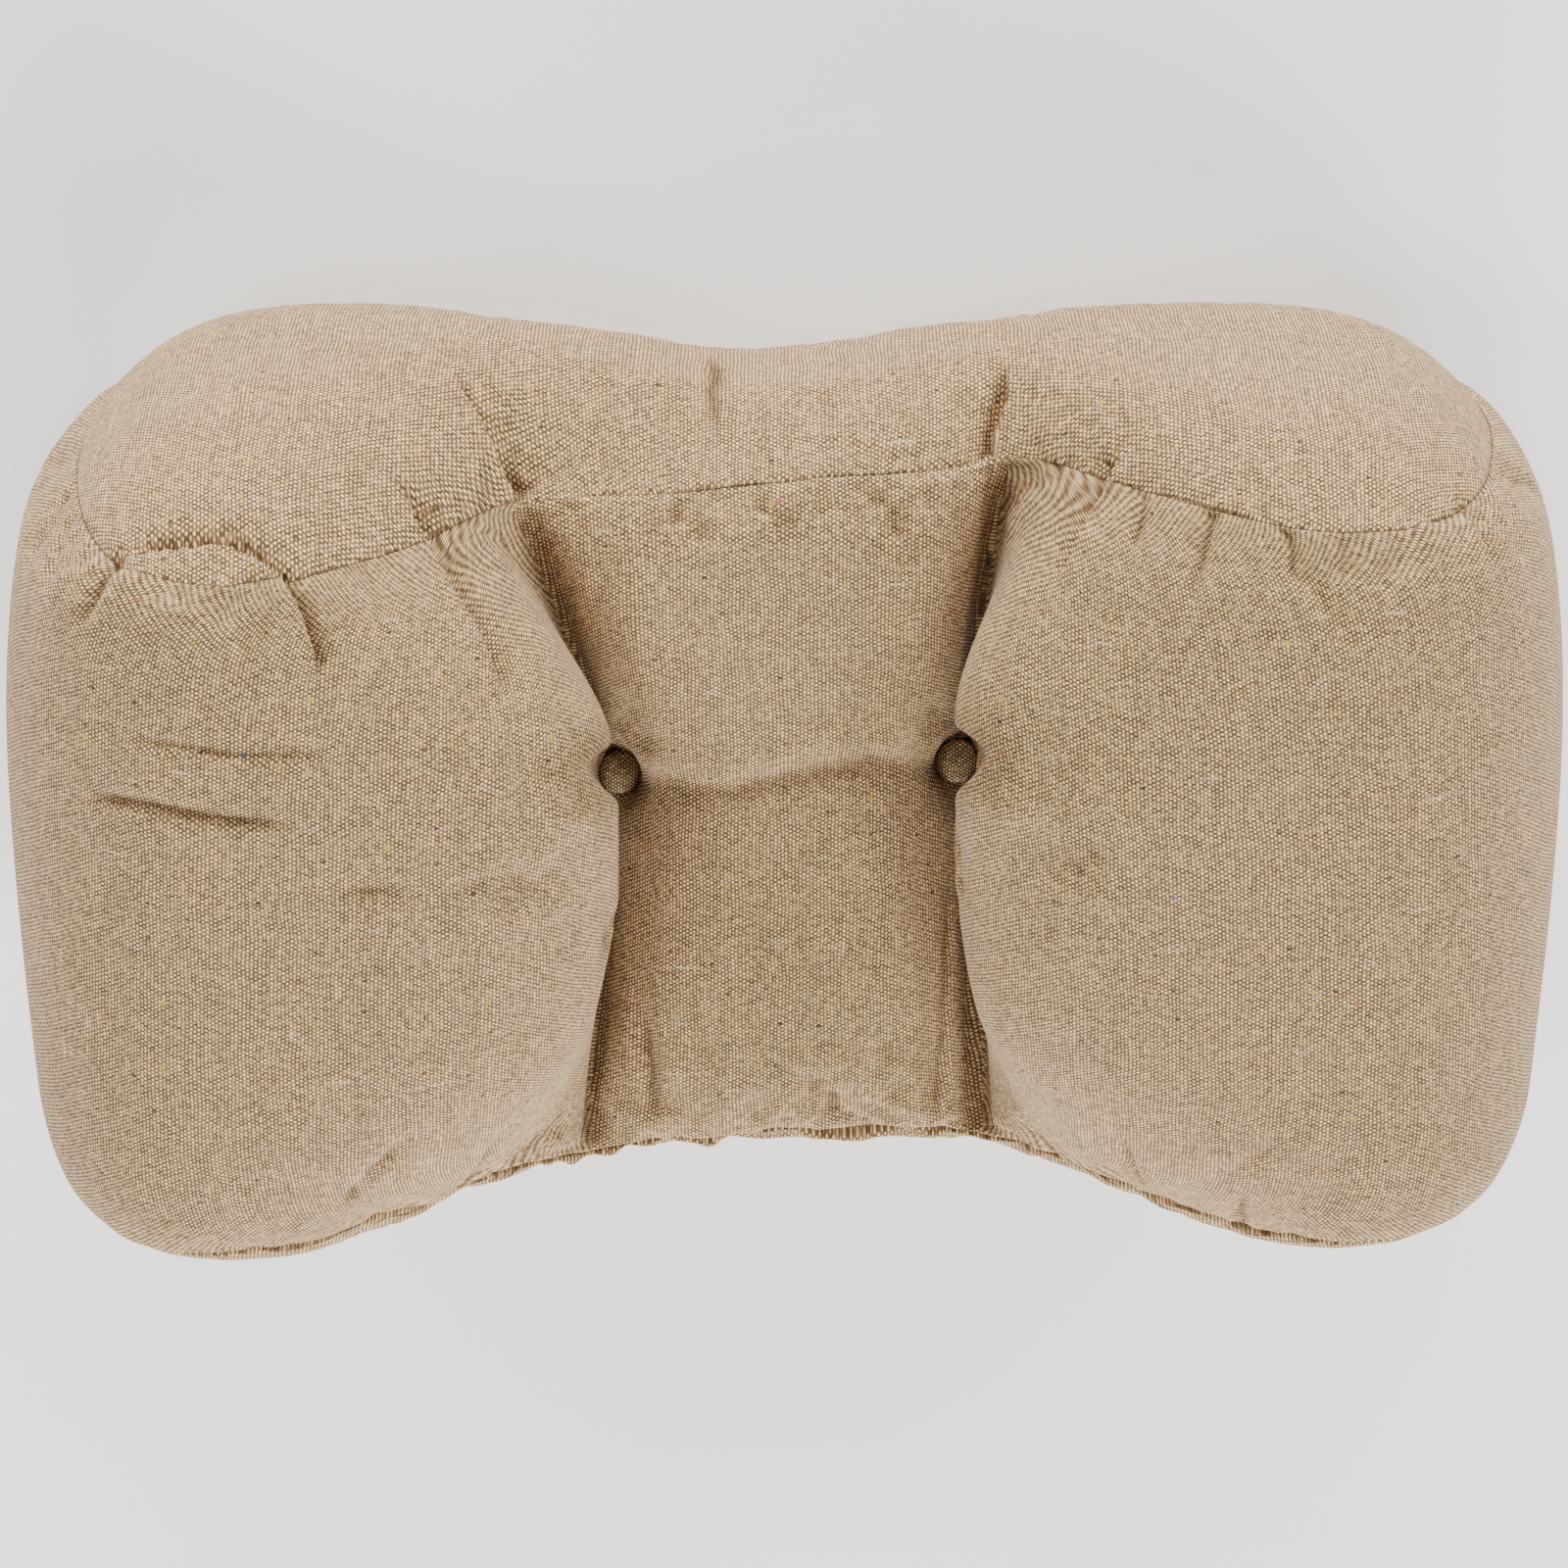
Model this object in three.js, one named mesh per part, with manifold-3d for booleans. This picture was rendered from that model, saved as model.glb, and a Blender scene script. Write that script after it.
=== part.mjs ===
// Lumbar support cushion, stuffed, lying on its back. Millimetres, with +X across the two lobes,
// +Y towards the top panel and +Z out of the face. The origin is under the middle of the back.
// One wide band runs round the cushion, two bone-shaped panels close its ends, and two covered
// buttons pull the middle of the face down into a saddle between the lobes.
import * as THREE from 'three';
import { mergeVertices } from 'three/addons/utils/BufferGeometryUtils.js';
import Module from 'manifold-3d';

// Height of the two panel seams above and below the middle
const topSeam = 104;
const bottomSeam = -112;

// How far each panel crowns at places along its middle line, as [x, crown]
const topCrown = [
  [-135, 20], [-96, 20], [-56, 13], [-37, 8.5], [-18, 4], [0, 5.5],
  [20, 8], [39, 12], [58, 15.5], [77, 19], [96, 20], [135, 20],
];
const bottomCrown = [[-135, 12], [-96, 11], [-56, 4.2], [-37, 4.6], [0, 6.5], [39, 8], [77, 8], [96, 9], [135, 12]];
const crownEase = 12;
// How soon each panel reaches its crown: a higher power rounds off closer to the seam
const topPower = 4;
const bottomPower = 10;

// How far the seams sag at places round the loop, as [place, right, left]: place 0 is the middle of
// the back, 6 the widest line, 14 the valley and 17 the middle of the saddle
const topSag = [
  [0, 3.6, 3.6], [0.5, 2.5, 4.8], [1.1, 2, 4.6], [2.2, 1, 1.6], [3.2, 0, 0], [5, 0, 0], [8.5, 3, 11.5],
  [11.5, 3, 15.5], [12.8, 4.5, 15.5], [13.6, 6.5, 16.5], [14.4, 8, 17], [15.2, 8.5, 16], [16, 9, 14], [17, 10.5, 10.5],
];
const bottomSag = [
  [0, 0, 0], [5, 0, 0], [8.5, -3.4, -2.8], [10, 2.8, 2], [11.5, 2.2, 0.8], [12.8, 4.1, 6.4], [13.6, 4.1, 8.6],
  [14.4, 4, 8.6], [15.2, 3.3, 7.2], [16, 3, 6.6], [17, 5.1, 5.1],
];
const sagEase = 0.5;

// How far the filled band stands proud of its seams
const puff = { side: 13, face: 6, wall: 3, saddle: 9 };

// Cross sections from the bottom seam to the top seam, evenly spaced. crest is where the lobe
// stands highest, as a share of the half width, and bluff tells a straight slope down to the
// saddle (0) from a lobe with a steep inner wall (1). roll is how far the saddle rounds off towards
// the valleys at its sides.
const sections = [
  { halfWidth: 199, saddle: 66, roll: 0.55, bluff: 0.0, crest: 0.8 },
  { halfWidth: 200, saddle: 68, roll: 0.55, bluff: 0.9, crest: 0.74 },
  { halfWidth: 200, saddle: 59, roll: 0.45, bluff: 0.92, crest: 0.68 },
  { halfWidth: 197, saddle: 70, roll: 0.2, bluff: 0.95, crest: 0.68 },
  { halfWidth: 185, saddle: 74, roll: 0.15, bluff: 0.17, crest: 0.76 },
];

// The same sections on each lobe: its depth, the place of its inner edge, and the place and
// height of the valley beside it
const lobes = {
  right: [
    { depth: 132, edge: 56, valley: 57, valleyFloor: 64 },
    { depth: 134, edge: 48, valley: 55, valleyFloor: 50 },
    { depth: 132, edge: 52, valley: 50, valleyFloor: 38 },
    { depth: 127, edge: 39, valley: 53, valleyFloor: 56 },
    { depth: 126, edge: 62, valley: 59, valleyFloor: 66 },
  ],
  left: [
    { depth: 138, edge: 56, valley: 56, valleyFloor: 68 },
    { depth: 141, edge: 52, valley: 54, valleyFloor: 54 },
    { depth: 137, edge: 49, valley: 49, valleyFloor: 38 },
    { depth: 138, edge: 38, valley: 57, valleyFloor: 58 },
    { depth: 139, edge: 73, valley: 73, valleyFloor: 76 },
  ],
};

// Where the filling lies on the surface: the shape below this height rounds off into a flat
const restEase = 4;

// The covered buttons: their seats on the face, and the pinch that they pull into the filling
const buttons = { right: { x: 48, y: -2.5, z: 50 }, left: { x: -47, y: -6, z: 50 } };
const buttonRadius = 6.4;
const buttonThickness = 3.8;
const buttonTilt = THREE.MathUtils.degToRad(9);
const buttonGap = 0.3;
const wellRise = 14;
const pinch = { reach: 19, pull: 0.55 };

// Room round each button along an axis that leans to the top panel: how far the cloth keeps clear
// of its rim, and how that widens with height
const clearing = {
  rim: 0.6, flare: 0.05, dentReach: 1.35, soft: 1.4, sink: 0.6, sinkReach: 4, tilt: THREE.MathUtils.degToRad(24),
};
const backDimple = { radius: 24, depth: 5, reachUp: 20 };

// Main folds, each a soft trough along points on the face
const folds = [
  { name: 'corner tuck', depth: 6, width: 9, path: [[-158, 92, 133], [-126, 93, 137], [-118, 76, 139]] },
  { name: 'left pleat', depth: 6, width: 8, path: [[-96, 96, 115], [-89, 84, 117], [-76, 58, 118]] },
  { name: 'right pleat', depth: 4, width: 8, path: [[83, 101, 91], [78, 91, 95], [72, 76, 99]] },
  { name: 'right corner', depth: 3, width: 8, path: [[167, 104, 118], [177, 89, 118]] },
  { name: 'left valley end', depth: 5, width: 10, path: [[-89, 114, 66], [-78, 108, 79], [-71, 96, 84]] },
  { name: 'right valley end', depth: 5, width: 10, path: [[58, 110, 56], [58, 104, 64], [56, 97, 68]] },
  { name: 'top notch', depth: 3, width: 8, path: [[-19, 114, 20], [-19, 110, 47], [-19, 107, 62]] },
  { name: 'saddle groove', depth: 3, width: 10, path: [[-43, 5, 62], [-24, 1, 70], [-4, 4, 72], [23, 11, 71], [43, 7, 60]] },
];

// Line along the middle of each panel, where its front and back halves meet
const spine = { reach: 135, softness: 128, height: 46 };

// Fineness of the solid: columns on a quarter of the loop, rows up the band, rings of a panel
const quarterColumns = 25;
const bandRows = 26;
const panelRings = [0.05, 0.13, 0.26, 0.45, 0.72, 1];

const clothColour = 0xc9b294;

// Weights of a uniform cubic B-spline
function splineWeights(f) {
  return [
    (1 - f) ** 3 / 6,
    (3 * f ** 3 - 6 * f ** 2 + 4) / 6,
    (-3 * f ** 3 + 3 * f ** 2 + 3 * f + 1) / 6,
    f ** 3 / 6,
  ];
}

// A column of a section table at height t, from -1 at the bottom seam to 1 at the top seam
function sectionValue(rows, column, t) {
  const last = rows.length - 1;
  const place = ((t + 1) / 2) * last;
  const first = Math.min(Math.floor(place), last - 1);
  const at = (i) => {
    if (i < 0) return 2 * rows[0][column] - rows[1][column];
    if (i > last) return 2 * rows[last][column] - rows[last - 1][column];
    return rows[i][column];
  };
  return splineWeights(place - first).reduce((sum, w, k) => sum + w * at(first + k - 1), 0);
}

// Control points [x, z] of one side, from the middle of the back round to the middle of the saddle
function sidePoints(lobe, sign, t) {
  const width = sectionValue(sections, 'halfWidth', t);
  const saddle = sectionValue(sections, 'saddle', t);
  const bluff = sectionValue(sections, 'bluff', t);
  const crestX = sectionValue(sections, 'crest', t) * width;
  const depth = sectionValue(lobe, 'depth', t);
  const edge = sectionValue(lobe, 'edge', t);
  const valley = sectionValue(lobe, 'valley', t);
  const floor = sectionValue(lobe, 'valleyFloor', t);
  const roll = sectionValue(sections, 'roll', t);
  const slope = (share, x, z) => {
    const slopeX = crestX + (valley - crestX) * share;
    const slopeZ = depth + (floor - depth) * share ** 1.25 + 2 * (1 - share);
    return [slopeX + (x - slopeX) * bluff, slopeZ + (z - slopeZ) * bluff];
  };
  const points = [
    [0, -5],
    [0.25 * width, -5],
    [0.5 * width, -5],
    [0.74 * width, -5],
    [0.93 * width, 0.06 * depth],
    [width, 0.25 * depth],
    [1.01 * width, 0.5 * depth],
    [0.985 * width, 0.75 * depth],
    [0.5 * (crestX + 1.04 * width), 0.965 * depth],
    [crestX, 1.02 * depth],
    slope(0.3, 0.4 * crestX + 0.6 * edge, 0.99 * depth),
    slope(0.55, edge, 0.86 * depth),
    slope(0.74, edge - 2, 0.55 * depth + 0.45 * floor),
    slope(0.88, 0.5 * (valley + edge), 0.22 * depth + 0.78 * floor),
    [valley, floor],
    [0.8 * valley, roll * floor + (1 - roll) * saddle],
    [0.45 * valley, 0.15 * roll * floor + (1 - 0.15 * roll) * saddle],
    [0, saddle],
  ];
  return points.map(([x, z]) => [sign * x, z]);
}

const sideCount = 18;
const loopCount = 2 * sideCount - 2;
const middlePlace = loopCount / 2;
const tipPlace = 6;
const valleyPlace = 14;

function sectionLoop(t) {
  const right = sidePoints(lobes.right, 1, t);
  const left = sidePoints(lobes.left, -1, t);
  return [...right, ...left.slice(1, -1).reverse()];
}

function loopPoint(loop, s) {
  const first = Math.floor(s);
  const weights = splineWeights(s - first);
  const point = [0, 0];
  weights.forEach((w, k) => {
    const [x, z] = loop[(first + k - 1 + loopCount) % loopCount];
    point[0] += w * x;
    point[1] += w * z;
  });
  return point;
}

const { smoothstep } = THREE.MathUtils;

// Piecewise linear lookup in a table of [place, value]
function lookup(table, place) {
  const next = table.findIndex(([at]) => at >= place);
  if (next <= 0) return table[next < 0 ? table.length - 1 : 0][1];
  const [a, b] = [table[next - 1], table[next]];
  return a[1] + ((b[1] - a[1]) * (place - a[0])) / (b[0] - a[0]);
}

// How far the band puffs at control place k of a side
const puffTable = [
  [0, 0], [3, 0], [4.5, puff.side], [7.5, puff.side], [9, puff.face], [11, puff.face],
  [12.5, puff.wall], [14, 0], [15.5, puff.saddle], [17, puff.saddle],
];

// The seam's height at place s: the table's value there, evened out over sagEase on both sides
function seamHeight(seam, sag, s) {
  let sum = 0;
  for (let k = -4; k <= 4; k += 1) {
    const at = (s + (k / 4) * sagEase + loopCount) % loopCount;
    const side = at <= middlePlace ? 1 : 2;
    sum += lookup(sag.map((row) => [row[0], row[side]]), side === 1 ? at : loopCount - at);
  }
  return seam - sum / 9;
}

function restOn(z) {
  if (z <= -restEase) return 0;
  return z < restEase ? (z + restEase) ** 2 / (4 * restEase) : z;
}

// A point of the band at height t and place s round it
function bandPoint(t, s) {
  const loop = sectionLoop(t);
  const [x, z] = loopPoint(loop, s);
  const before = loopPoint(loop, (s - 0.1 + loopCount) % loopCount);
  const after = loopPoint(loop, (s + 0.1) % loopCount);
  const normal = new THREE.Vector2(after[1] - before[1], before[0] - after[0]).normalize();
  const k = s > middlePlace ? loopCount - s : s;
  const shoulder = 1 - Math.abs(t) ** 12;
  const out = lookup(puffTable, k) * shoulder;
  const low = seamHeight(bottomSeam, bottomSag, s);
  const high = seamHeight(topSeam, topSag, s);
  const y = THREE.MathUtils.lerp(low, high, (t + 1) / 2);
  return new THREE.Vector3(x + normal.x * out, y, z + normal.y * out);
}

// Place on the back that lies under each place on the face, at the seams
const backPlace = [
  [6, 6], [7, 4.8], [8, 3.9], [9, 3.25], [10, 2.6], [11, 2.1], [12, 1.7], [13, 1.4], [14, 1.15], [17, 0],
];

// Places of the columns round the loop: back, right end, face, left end
function columnPlaces() {
  const face = Array.from({ length: quarterColumns + 1 }, (_, i) => (
    THREE.MathUtils.lerp(tipPlace, middlePlace, i / quarterColumns)
  ));
  const back = face.slice(1).map((place) => lookup(backPlace, place)).reverse();
  const right = [...back, ...face];
  const left = right.slice(1, -1).map((place) => loopCount - place).reverse();
  return [...right, ...left];
}

// The column across the panel from column i
function acrossPanel(i) {
  const full = 4 * quarterColumns;
  return i <= full / 2 ? full / 2 - i : (1.5 * full - i) % full;
}

// The crown at x along the middle line, evened out over crownEase on both sides
function crownAt(crown, x) {
  let sum = 0;
  for (let k = -4; k <= 4; k += 1) sum += lookup(crown, x + (k / 4) * crownEase);
  return sum / 9;
}

// Rings of a crowned panel from its seam in to its middle line, where the two halves meet
function panelRows(rim, seam, crown, power, sign) {
  return panelRings.map((r) => rim.map((edge, i) => {
    const middleX = (edge.x + rim[acrossPanel(i)].x) / 2;
    const spineX = spine.reach * Math.tanh(middleX / spine.softness);
    const lift = crownAt(crown, spineX);
    const arch = 1 - (1 - r) ** power;
    return new THREE.Vector3(
      THREE.MathUtils.lerp(edge.x, spineX, r),
      THREE.MathUtils.lerp(edge.y, seam, smoothstep(r, 0, 1)) + sign * lift * arch,
      THREE.MathUtils.lerp(edge.z, spine.height, r),
    );
  }));
}

function distanceToPath(point, path) {
  let nearest = Infinity;
  const target = new THREE.Vector3();
  for (let i = 0; i + 1 < path.length; i += 1) {
    const line = new THREE.Line3(new THREE.Vector3(...path[i]), new THREE.Vector3(...path[i + 1]));
    line.closestPointToPoint(point, true, target);
    nearest = Math.min(nearest, target.distanceTo(point));
  }
  return nearest;
}

// The cloth round a button: near its axis it sinks to the button's foot. Above the foot the lobe's
// wall draws back from the rim like a funnel that widens with height, and the saddle's cloth keeps
// as far off on its own side. outward is 1 towards +X, -1 towards -X and 0 in the valley.
function clearButton(point, seat, outward) {
  const axis = new THREE.Vector3(0, Math.sin(clearing.tilt), Math.cos(clearing.tilt));
  const crosswise = new THREE.Vector3(0, Math.cos(clearing.tilt), -Math.sin(clearing.tilt));
  const centre = new THREE.Vector3(seat.x, seat.y, seat.z);
  const offset = point.clone().sub(centre);
  const [a, b] = [offset.x, offset.dot(crosswise)];
  let height = offset.dot(axis);
  const near = 1 - smoothstep(Math.hypot(a, b), buttonRadius - 1, buttonRadius + clearing.sinkReach);
  const low = near * Math.exp(-((height / 6) ** 2));
  height = height * (1 - low) - clearing.sink * low;
  const free = buttonRadius + clearing.rim + clearing.flare * THREE.MathUtils.clamp(height, 0, 60);
  const least = free * (1 - (b / (clearing.dentReach * free)) ** 2) - 0.7 * clearing.soft;
  const way = Math.sign(outward);
  const clear = (way * a + least) / 2 + Math.hypot((way * a - least) / 2, clearing.soft);
  const push = (clear - way * a) * Math.abs(outward) * smoothstep(height, -2.5, 0.6);
  centre.x += a + way * push;
  return centre.addScaledVector(crosswise, b).addScaledVector(axis, height);
}

// Which way the cloth of the column at place s keeps off the button at x
function outwardAt(x, s) {
  const place = x > 0 ? s : loopCount - s;
  return Math.sign(x) * THREE.MathUtils.clamp((valleyPlace - place) / 0.6, -1, 1);
}

// The pull of the buttons, the folds and the surface under the back, on the point at place round the loop
function settle(point, normal, place) {
  const moved = point.clone();
  for (const { depth, width, path } of folds) {
    const d = distanceToPath(point, path);
    moved.addScaledVector(normal, -depth * Math.exp(-((d / width) ** 2)));
  }
  for (const seat of Object.values(buttons)) {
    const centre = new THREE.Vector3(seat.x, seat.y, seat.z);
    const toSeat = centre.clone().sub(moved);
    moved.addScaledVector(toSeat, pinch.pull * Math.exp(-((toSeat.length() / pinch.reach) ** 2)));
    moved.copy(clearButton(moved, seat, outwardAt(seat.x, place)));
  }
  moved.z = restOn(moved.z);
  for (const seat of Object.values(buttons)) {
    const aside = Math.hypot(moved.x - seat.x, moved.y - seat.y) / backDimple.radius;
    if (aside < 1 && moved.z < backDimple.reachUp) moved.z += backDimple.depth * (1 - aside ** 2) ** 2;
  }
  return moved;
}

// The whole skin as rows of points, from the middle of the bottom panel to that of the top panel
function cushionRows() {
  const places = columnPlaces();
  const band = [];
  for (let i = 0; i <= bandRows; i += 1) {
    const even = (2 * i) / bandRows - 1;
    const t = THREE.MathUtils.lerp(even, Math.sin((even * Math.PI) / 2), 0.55);
    band.push(places.map((s) => bandPoint(t, s)));
  }
  const below = panelRows(band[0], bottomSeam, bottomCrown, bottomPower, -1).reverse();
  const above = panelRows(band[bandRows], topSeam, topCrown, topPower, 1);
  return [...below, ...band, ...above];
}

// Each row's points moved by the folds and buttons, along normals taken from the neighbours
function settledRows(rows) {
  const last = rows.length - 1;
  const places = columnPlaces();
  return rows.map((row, i) => row.map((point, j) => {
    if (i === 0 || i === last) {
      const outward = new THREE.Vector3(0, i === 0 ? -1 : 1, 0);
      return settle(point, outward, places[Math.min(j, acrossPanel(j))]);
    }
    const up = rows[i + 1][j].clone().sub(rows[i - 1][j]);
    const along = row[(j + 1) % row.length].clone().sub(row[(j - 1 + row.length) % row.length]);
    return settle(point, along.cross(up).negate().normalize(), places[j]);
  }));
}

// Closed geometry from the rows: the first and last rows fold shut along the panels' middle lines
function skinGeometry(rows) {
  const columns = rows[0].length;
  const index = [];
  for (let i = 0; i + 1 < rows.length; i += 1) {
    for (let j = 0; j < columns; j += 1) {
      const a = i * columns + j;
      const b = i * columns + ((j + 1) % columns);
      index.push(a, a + columns, b, b, a + columns, b + columns);
    }
  }
  const geometry = new THREE.BufferGeometry();
  const positions = rows.flat().flatMap((p) => p.toArray());
  geometry.setAttribute('position', new THREE.Float32BufferAttribute(positions, 3));
  geometry.setIndex(index);
  return geometry;
}

// Profile of a covered button, a low dome on a flat back, grown all round by clearance
function buttonGeometry(clearance, rise) {
  const radius = buttonRadius + clearance;
  const profile = [
    new THREE.Vector2(0, -clearance),
    new THREE.Vector2(0.9 * radius, -clearance),
    new THREE.Vector2(radius, 0.3 * buttonThickness),
  ];
  if (rise > 0) {
    profile.push(new THREE.Vector2(radius, rise), new THREE.Vector2(0, rise));
  } else {
    for (const angle of [20, 45, 68]) {
      const turn = THREE.MathUtils.degToRad(angle);
      const height = buttonThickness * (0.3 + 0.7 * Math.sin(turn));
      profile.push(new THREE.Vector2(radius * Math.cos(turn), height));
    }
    profile.push(new THREE.Vector2(0, buttonThickness));
  }
  return new THREE.LatheGeometry(profile, 24);
}

// The lathe's axis, which is +Y, turned to the face and tipped towards the top panel
function placeButton(geometry, seat) {
  geometry.rotateX(Math.PI / 2 - buttonTilt);
  geometry.translate(seat.x, seat.y, seat.z);
  return geometry;
}

const wasm = await Module();
wasm.setup();

function toSolid(geometry) {
  geometry.deleteAttribute('normal');
  geometry.deleteAttribute('uv');
  const merged = mergeVertices(geometry, 1e-4);
  return new wasm.Manifold(new wasm.Mesh({
    numProp: 3,
    vertProperties: new Float32Array(merged.attributes.position.array),
    triVerts: new Uint32Array(merged.index.array),
  }));
}

function toGeometry(solid) {
  const { vertProperties, triVerts } = solid.getMesh();
  const geometry = new THREE.BufferGeometry();
  geometry.setAttribute('position', new THREE.BufferAttribute(vertProperties, 3));
  geometry.setIndex(new THREE.BufferAttribute(triVerts, 1));
  geometry.computeVertexNormals();
  return geometry;
}

// The filled cushion, with a seat cut for each button
function makeCushion() {
  let solid = toSolid(skinGeometry(settledRows(cushionRows())));
  for (const seat of Object.values(buttons)) {
    const well = toSolid(placeButton(buttonGeometry(buttonGap, wellRise), seat));
    solid = solid.subtract(well);
  }
  return toGeometry(solid);
}

const cloth = () => new THREE.MeshStandardMaterial({ color: clothColour, roughness: 0.95, metalness: 0 });

const group = new THREE.Group();

function addPiece(name, geometry) {
  const piece = new THREE.Mesh(geometry, cloth());
  piece.name = name;
  group.add(piece);
}

addPiece('cushion', makeCushion());
for (const [side, seat] of Object.entries(buttons)) {
  addPiece(`button_${side}`, placeButton(buttonGeometry(0, 0), seat));
}

export default group;
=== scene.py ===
import math
from functools import partial
import bpy
import numpy as np
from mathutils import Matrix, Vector


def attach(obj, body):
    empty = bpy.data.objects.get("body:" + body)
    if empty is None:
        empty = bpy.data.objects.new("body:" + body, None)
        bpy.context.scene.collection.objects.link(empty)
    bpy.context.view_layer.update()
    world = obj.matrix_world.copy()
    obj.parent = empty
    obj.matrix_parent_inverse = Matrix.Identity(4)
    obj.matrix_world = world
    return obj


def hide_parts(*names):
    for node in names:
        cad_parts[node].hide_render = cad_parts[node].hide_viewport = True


# A stuffed canvas lumbar cushion lying on its back: one band, two bone-shaped panels, two covered buttons.
# Sizes in the dictionaries are millimetres in the frame of the CAD model; meshes are made in metres.
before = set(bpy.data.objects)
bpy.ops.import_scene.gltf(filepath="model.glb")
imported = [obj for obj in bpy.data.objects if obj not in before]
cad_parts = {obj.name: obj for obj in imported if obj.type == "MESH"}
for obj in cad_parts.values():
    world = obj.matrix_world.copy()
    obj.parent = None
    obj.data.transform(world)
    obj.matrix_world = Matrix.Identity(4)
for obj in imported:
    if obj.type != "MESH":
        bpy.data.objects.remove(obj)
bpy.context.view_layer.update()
mm = 0.001
print("frame loaded:", sorted(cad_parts))


def addObject(name, data):
    item = bpy.data.objects.new(name, data)
    bpy.context.scene.collection.objects.link(item)
    return item


# Camera, at the photograph's angle to the face
cameraValues = {"tilt": 28.0, "distance": 950.0, "aim": (-0.6, 4.0, 77.0), "lens": 79.4, "sensor": 36.0}


def makeCamera(values):
    # place = aim + distance * (0, sin tilt, cos tilt); it looks back along that line with +X to the right
    tilt = math.radians(values["tilt"])
    away = Vector((0.0, math.sin(tilt), math.cos(tilt)))
    aim = Vector(values["aim"]) * mm
    data = bpy.data.cameras.new("photoCamera")
    data.lens = values["lens"]
    data.sensor_width = values["sensor"]
    cameraObject = addObject("photoCamera", data)
    cameraObject.location = aim + away * values["distance"] * mm
    cameraObject.rotation_euler = (-tilt, 0.0, 0.0)
    bpy.context.scene.camera = cameraObject


makeCamera(cameraValues)
print("camera set")


# Cross sections of the band from the bottom seam to the top seam, evenly spaced. crest is where the lobe
# stands highest, as a share of the half width; bluff goes from a plain slope (0) to a steep inner wall (1).
cushionValues = {
    "topSeam": 104.0,
    "bottomSeam": -112.0,
    "crownPlaces": (-135, -96, -56, -37, -18, 0, 20, 39, 58, 77, 96, 135),
    "topCrown": (20, 20, 13, 8.5, 4, 5.5, 8, 12, 15.5, 19, 20, 20),
    "bottomCrown": (12, 11, 4.2, 4.6, 6, 6.5, 7, 8, 8, 8, 9, 12),
    "topPower": 4,
    "bottomPower": 14,
    "crownEase": 12.0,
    "sagPlaces": (0, 0.5, 1.1, 2.2, 3.2, 5, 8.5, 10, 11.5, 12.8, 13.6, 14.4, 15.2, 16, 17),
    "sagEase": 0.5,
    "topSag": {
        "right": (3.6, 2.5, 2, 1, 0, 0, 3, 3, 3, 4.5, 6.5, 8, 8.5, 9, 10.5),
        "left": (3.6, 4.8, 4.6, 1.6, 0, 0, 11.5, 13.5, 15.5, 15.5, 16.5, 17, 16, 14, 10.5),
    },
    "bottomSag": {
        "right": (0, 0, 0, 0, 0, 0, -3.4, 2.8, 2.2, 4.1, 4.1, 4, 3.3, 3, 5.1),
        "left": (0, 0, 0, 0, 0, 0, -2.8, 2.0, 0.8, 6.4, 8.6, 8.6, 7.2, 6.6, 5.1),
    },
    "puff": {"side": 13.0, "face": 6.0, "wall": 3.0, "saddle": 9.0},
    "halfWidth": (199, 200, 200, 197, 185),
    "saddle": (66, 68, 59, 70, 74),
    "roll": (0.55, 0.55, 0.45, 0.20, 0.15),
    "bluff": (0.0, 0.9, 0.92, 0.95, 0.17),
    "crest": (0.80, 0.74, 0.68, 0.68, 0.76),
    "right": {
        "depth": (132, 134, 132, 127, 126),
        "edge": (56, 49, 52, 40, 62),
        "valley": (57, 57, 52, 56, 60),
        "valleyFloor": (64, 50, 38, 56, 66),
    },
    "left": {
        "depth": (138, 141, 137, 138, 139),
        "edge": (56, 53, 51, 40, 73),
        "valley": (56, 56, 51, 59, 74),
        "valleyFloor": (68, 54, 38, 58, 76),
    },
    "restEase": 4.0,
    "spineReach": 135.0,
    "spineSoftness": 128.0,
    "spineHeight": 44.0,
    "bandEase": 2.0,
    "creasePasses": 14,
    "creaseRange": (0.08, 1.1),
    "creaseCut": 0.8,
    "fine": {"quarterColumns": 264, "bandRows": 150, "rings": 42, "crowding": 0.8},
    "coarse": {"quarterColumns": 66, "bandRows": 56, "rings": 18, "crowding": 0.25},
}

# The same place along the back under each place on the face, where the panels' two halves meet
facePlaces = (6, 7, 8, 9, 10, 11, 12, 13, 14, 17)
backPlaces = (6, 4.8, 3.9, 3.25, 2.6, 2.1, 1.7, 1.4, 1.15, 0)
puffPlaces = (0, 3, 4.5, 7.5, 9, 11, 12.5, 14, 15.5, 17)
sideCount = 18
loopCount = 2 * sideCount - 2
middlePlace = loopCount // 2
tipPlace = 6
valleyPlace = 14
valleyEase = 0.6

# Where the parts of the cloth lie in the weave's map, so that no two of them meet there
mapPlaces = {"tip": 200.0, "panels": 500.0, "buttons": 800.0}


def smoothStep(low, high, x):
    # 3u^2 - 2u^3, with u the share of the way from low to high
    u = np.clip((x - low) / (high - low), 0.0, 1.0)
    return u * u * (3.0 - 2.0 * u)


def splineWeights(f):
    # the four weights of a uniform cubic B-spline at share f of a span
    return ((1 - f) ** 3 / 6, (3 * f**3 - 6 * f**2 + 4) / 6, (-3 * f**3 + 3 * f**2 + 3 * f + 1) / 6, f**3 / 6)


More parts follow.
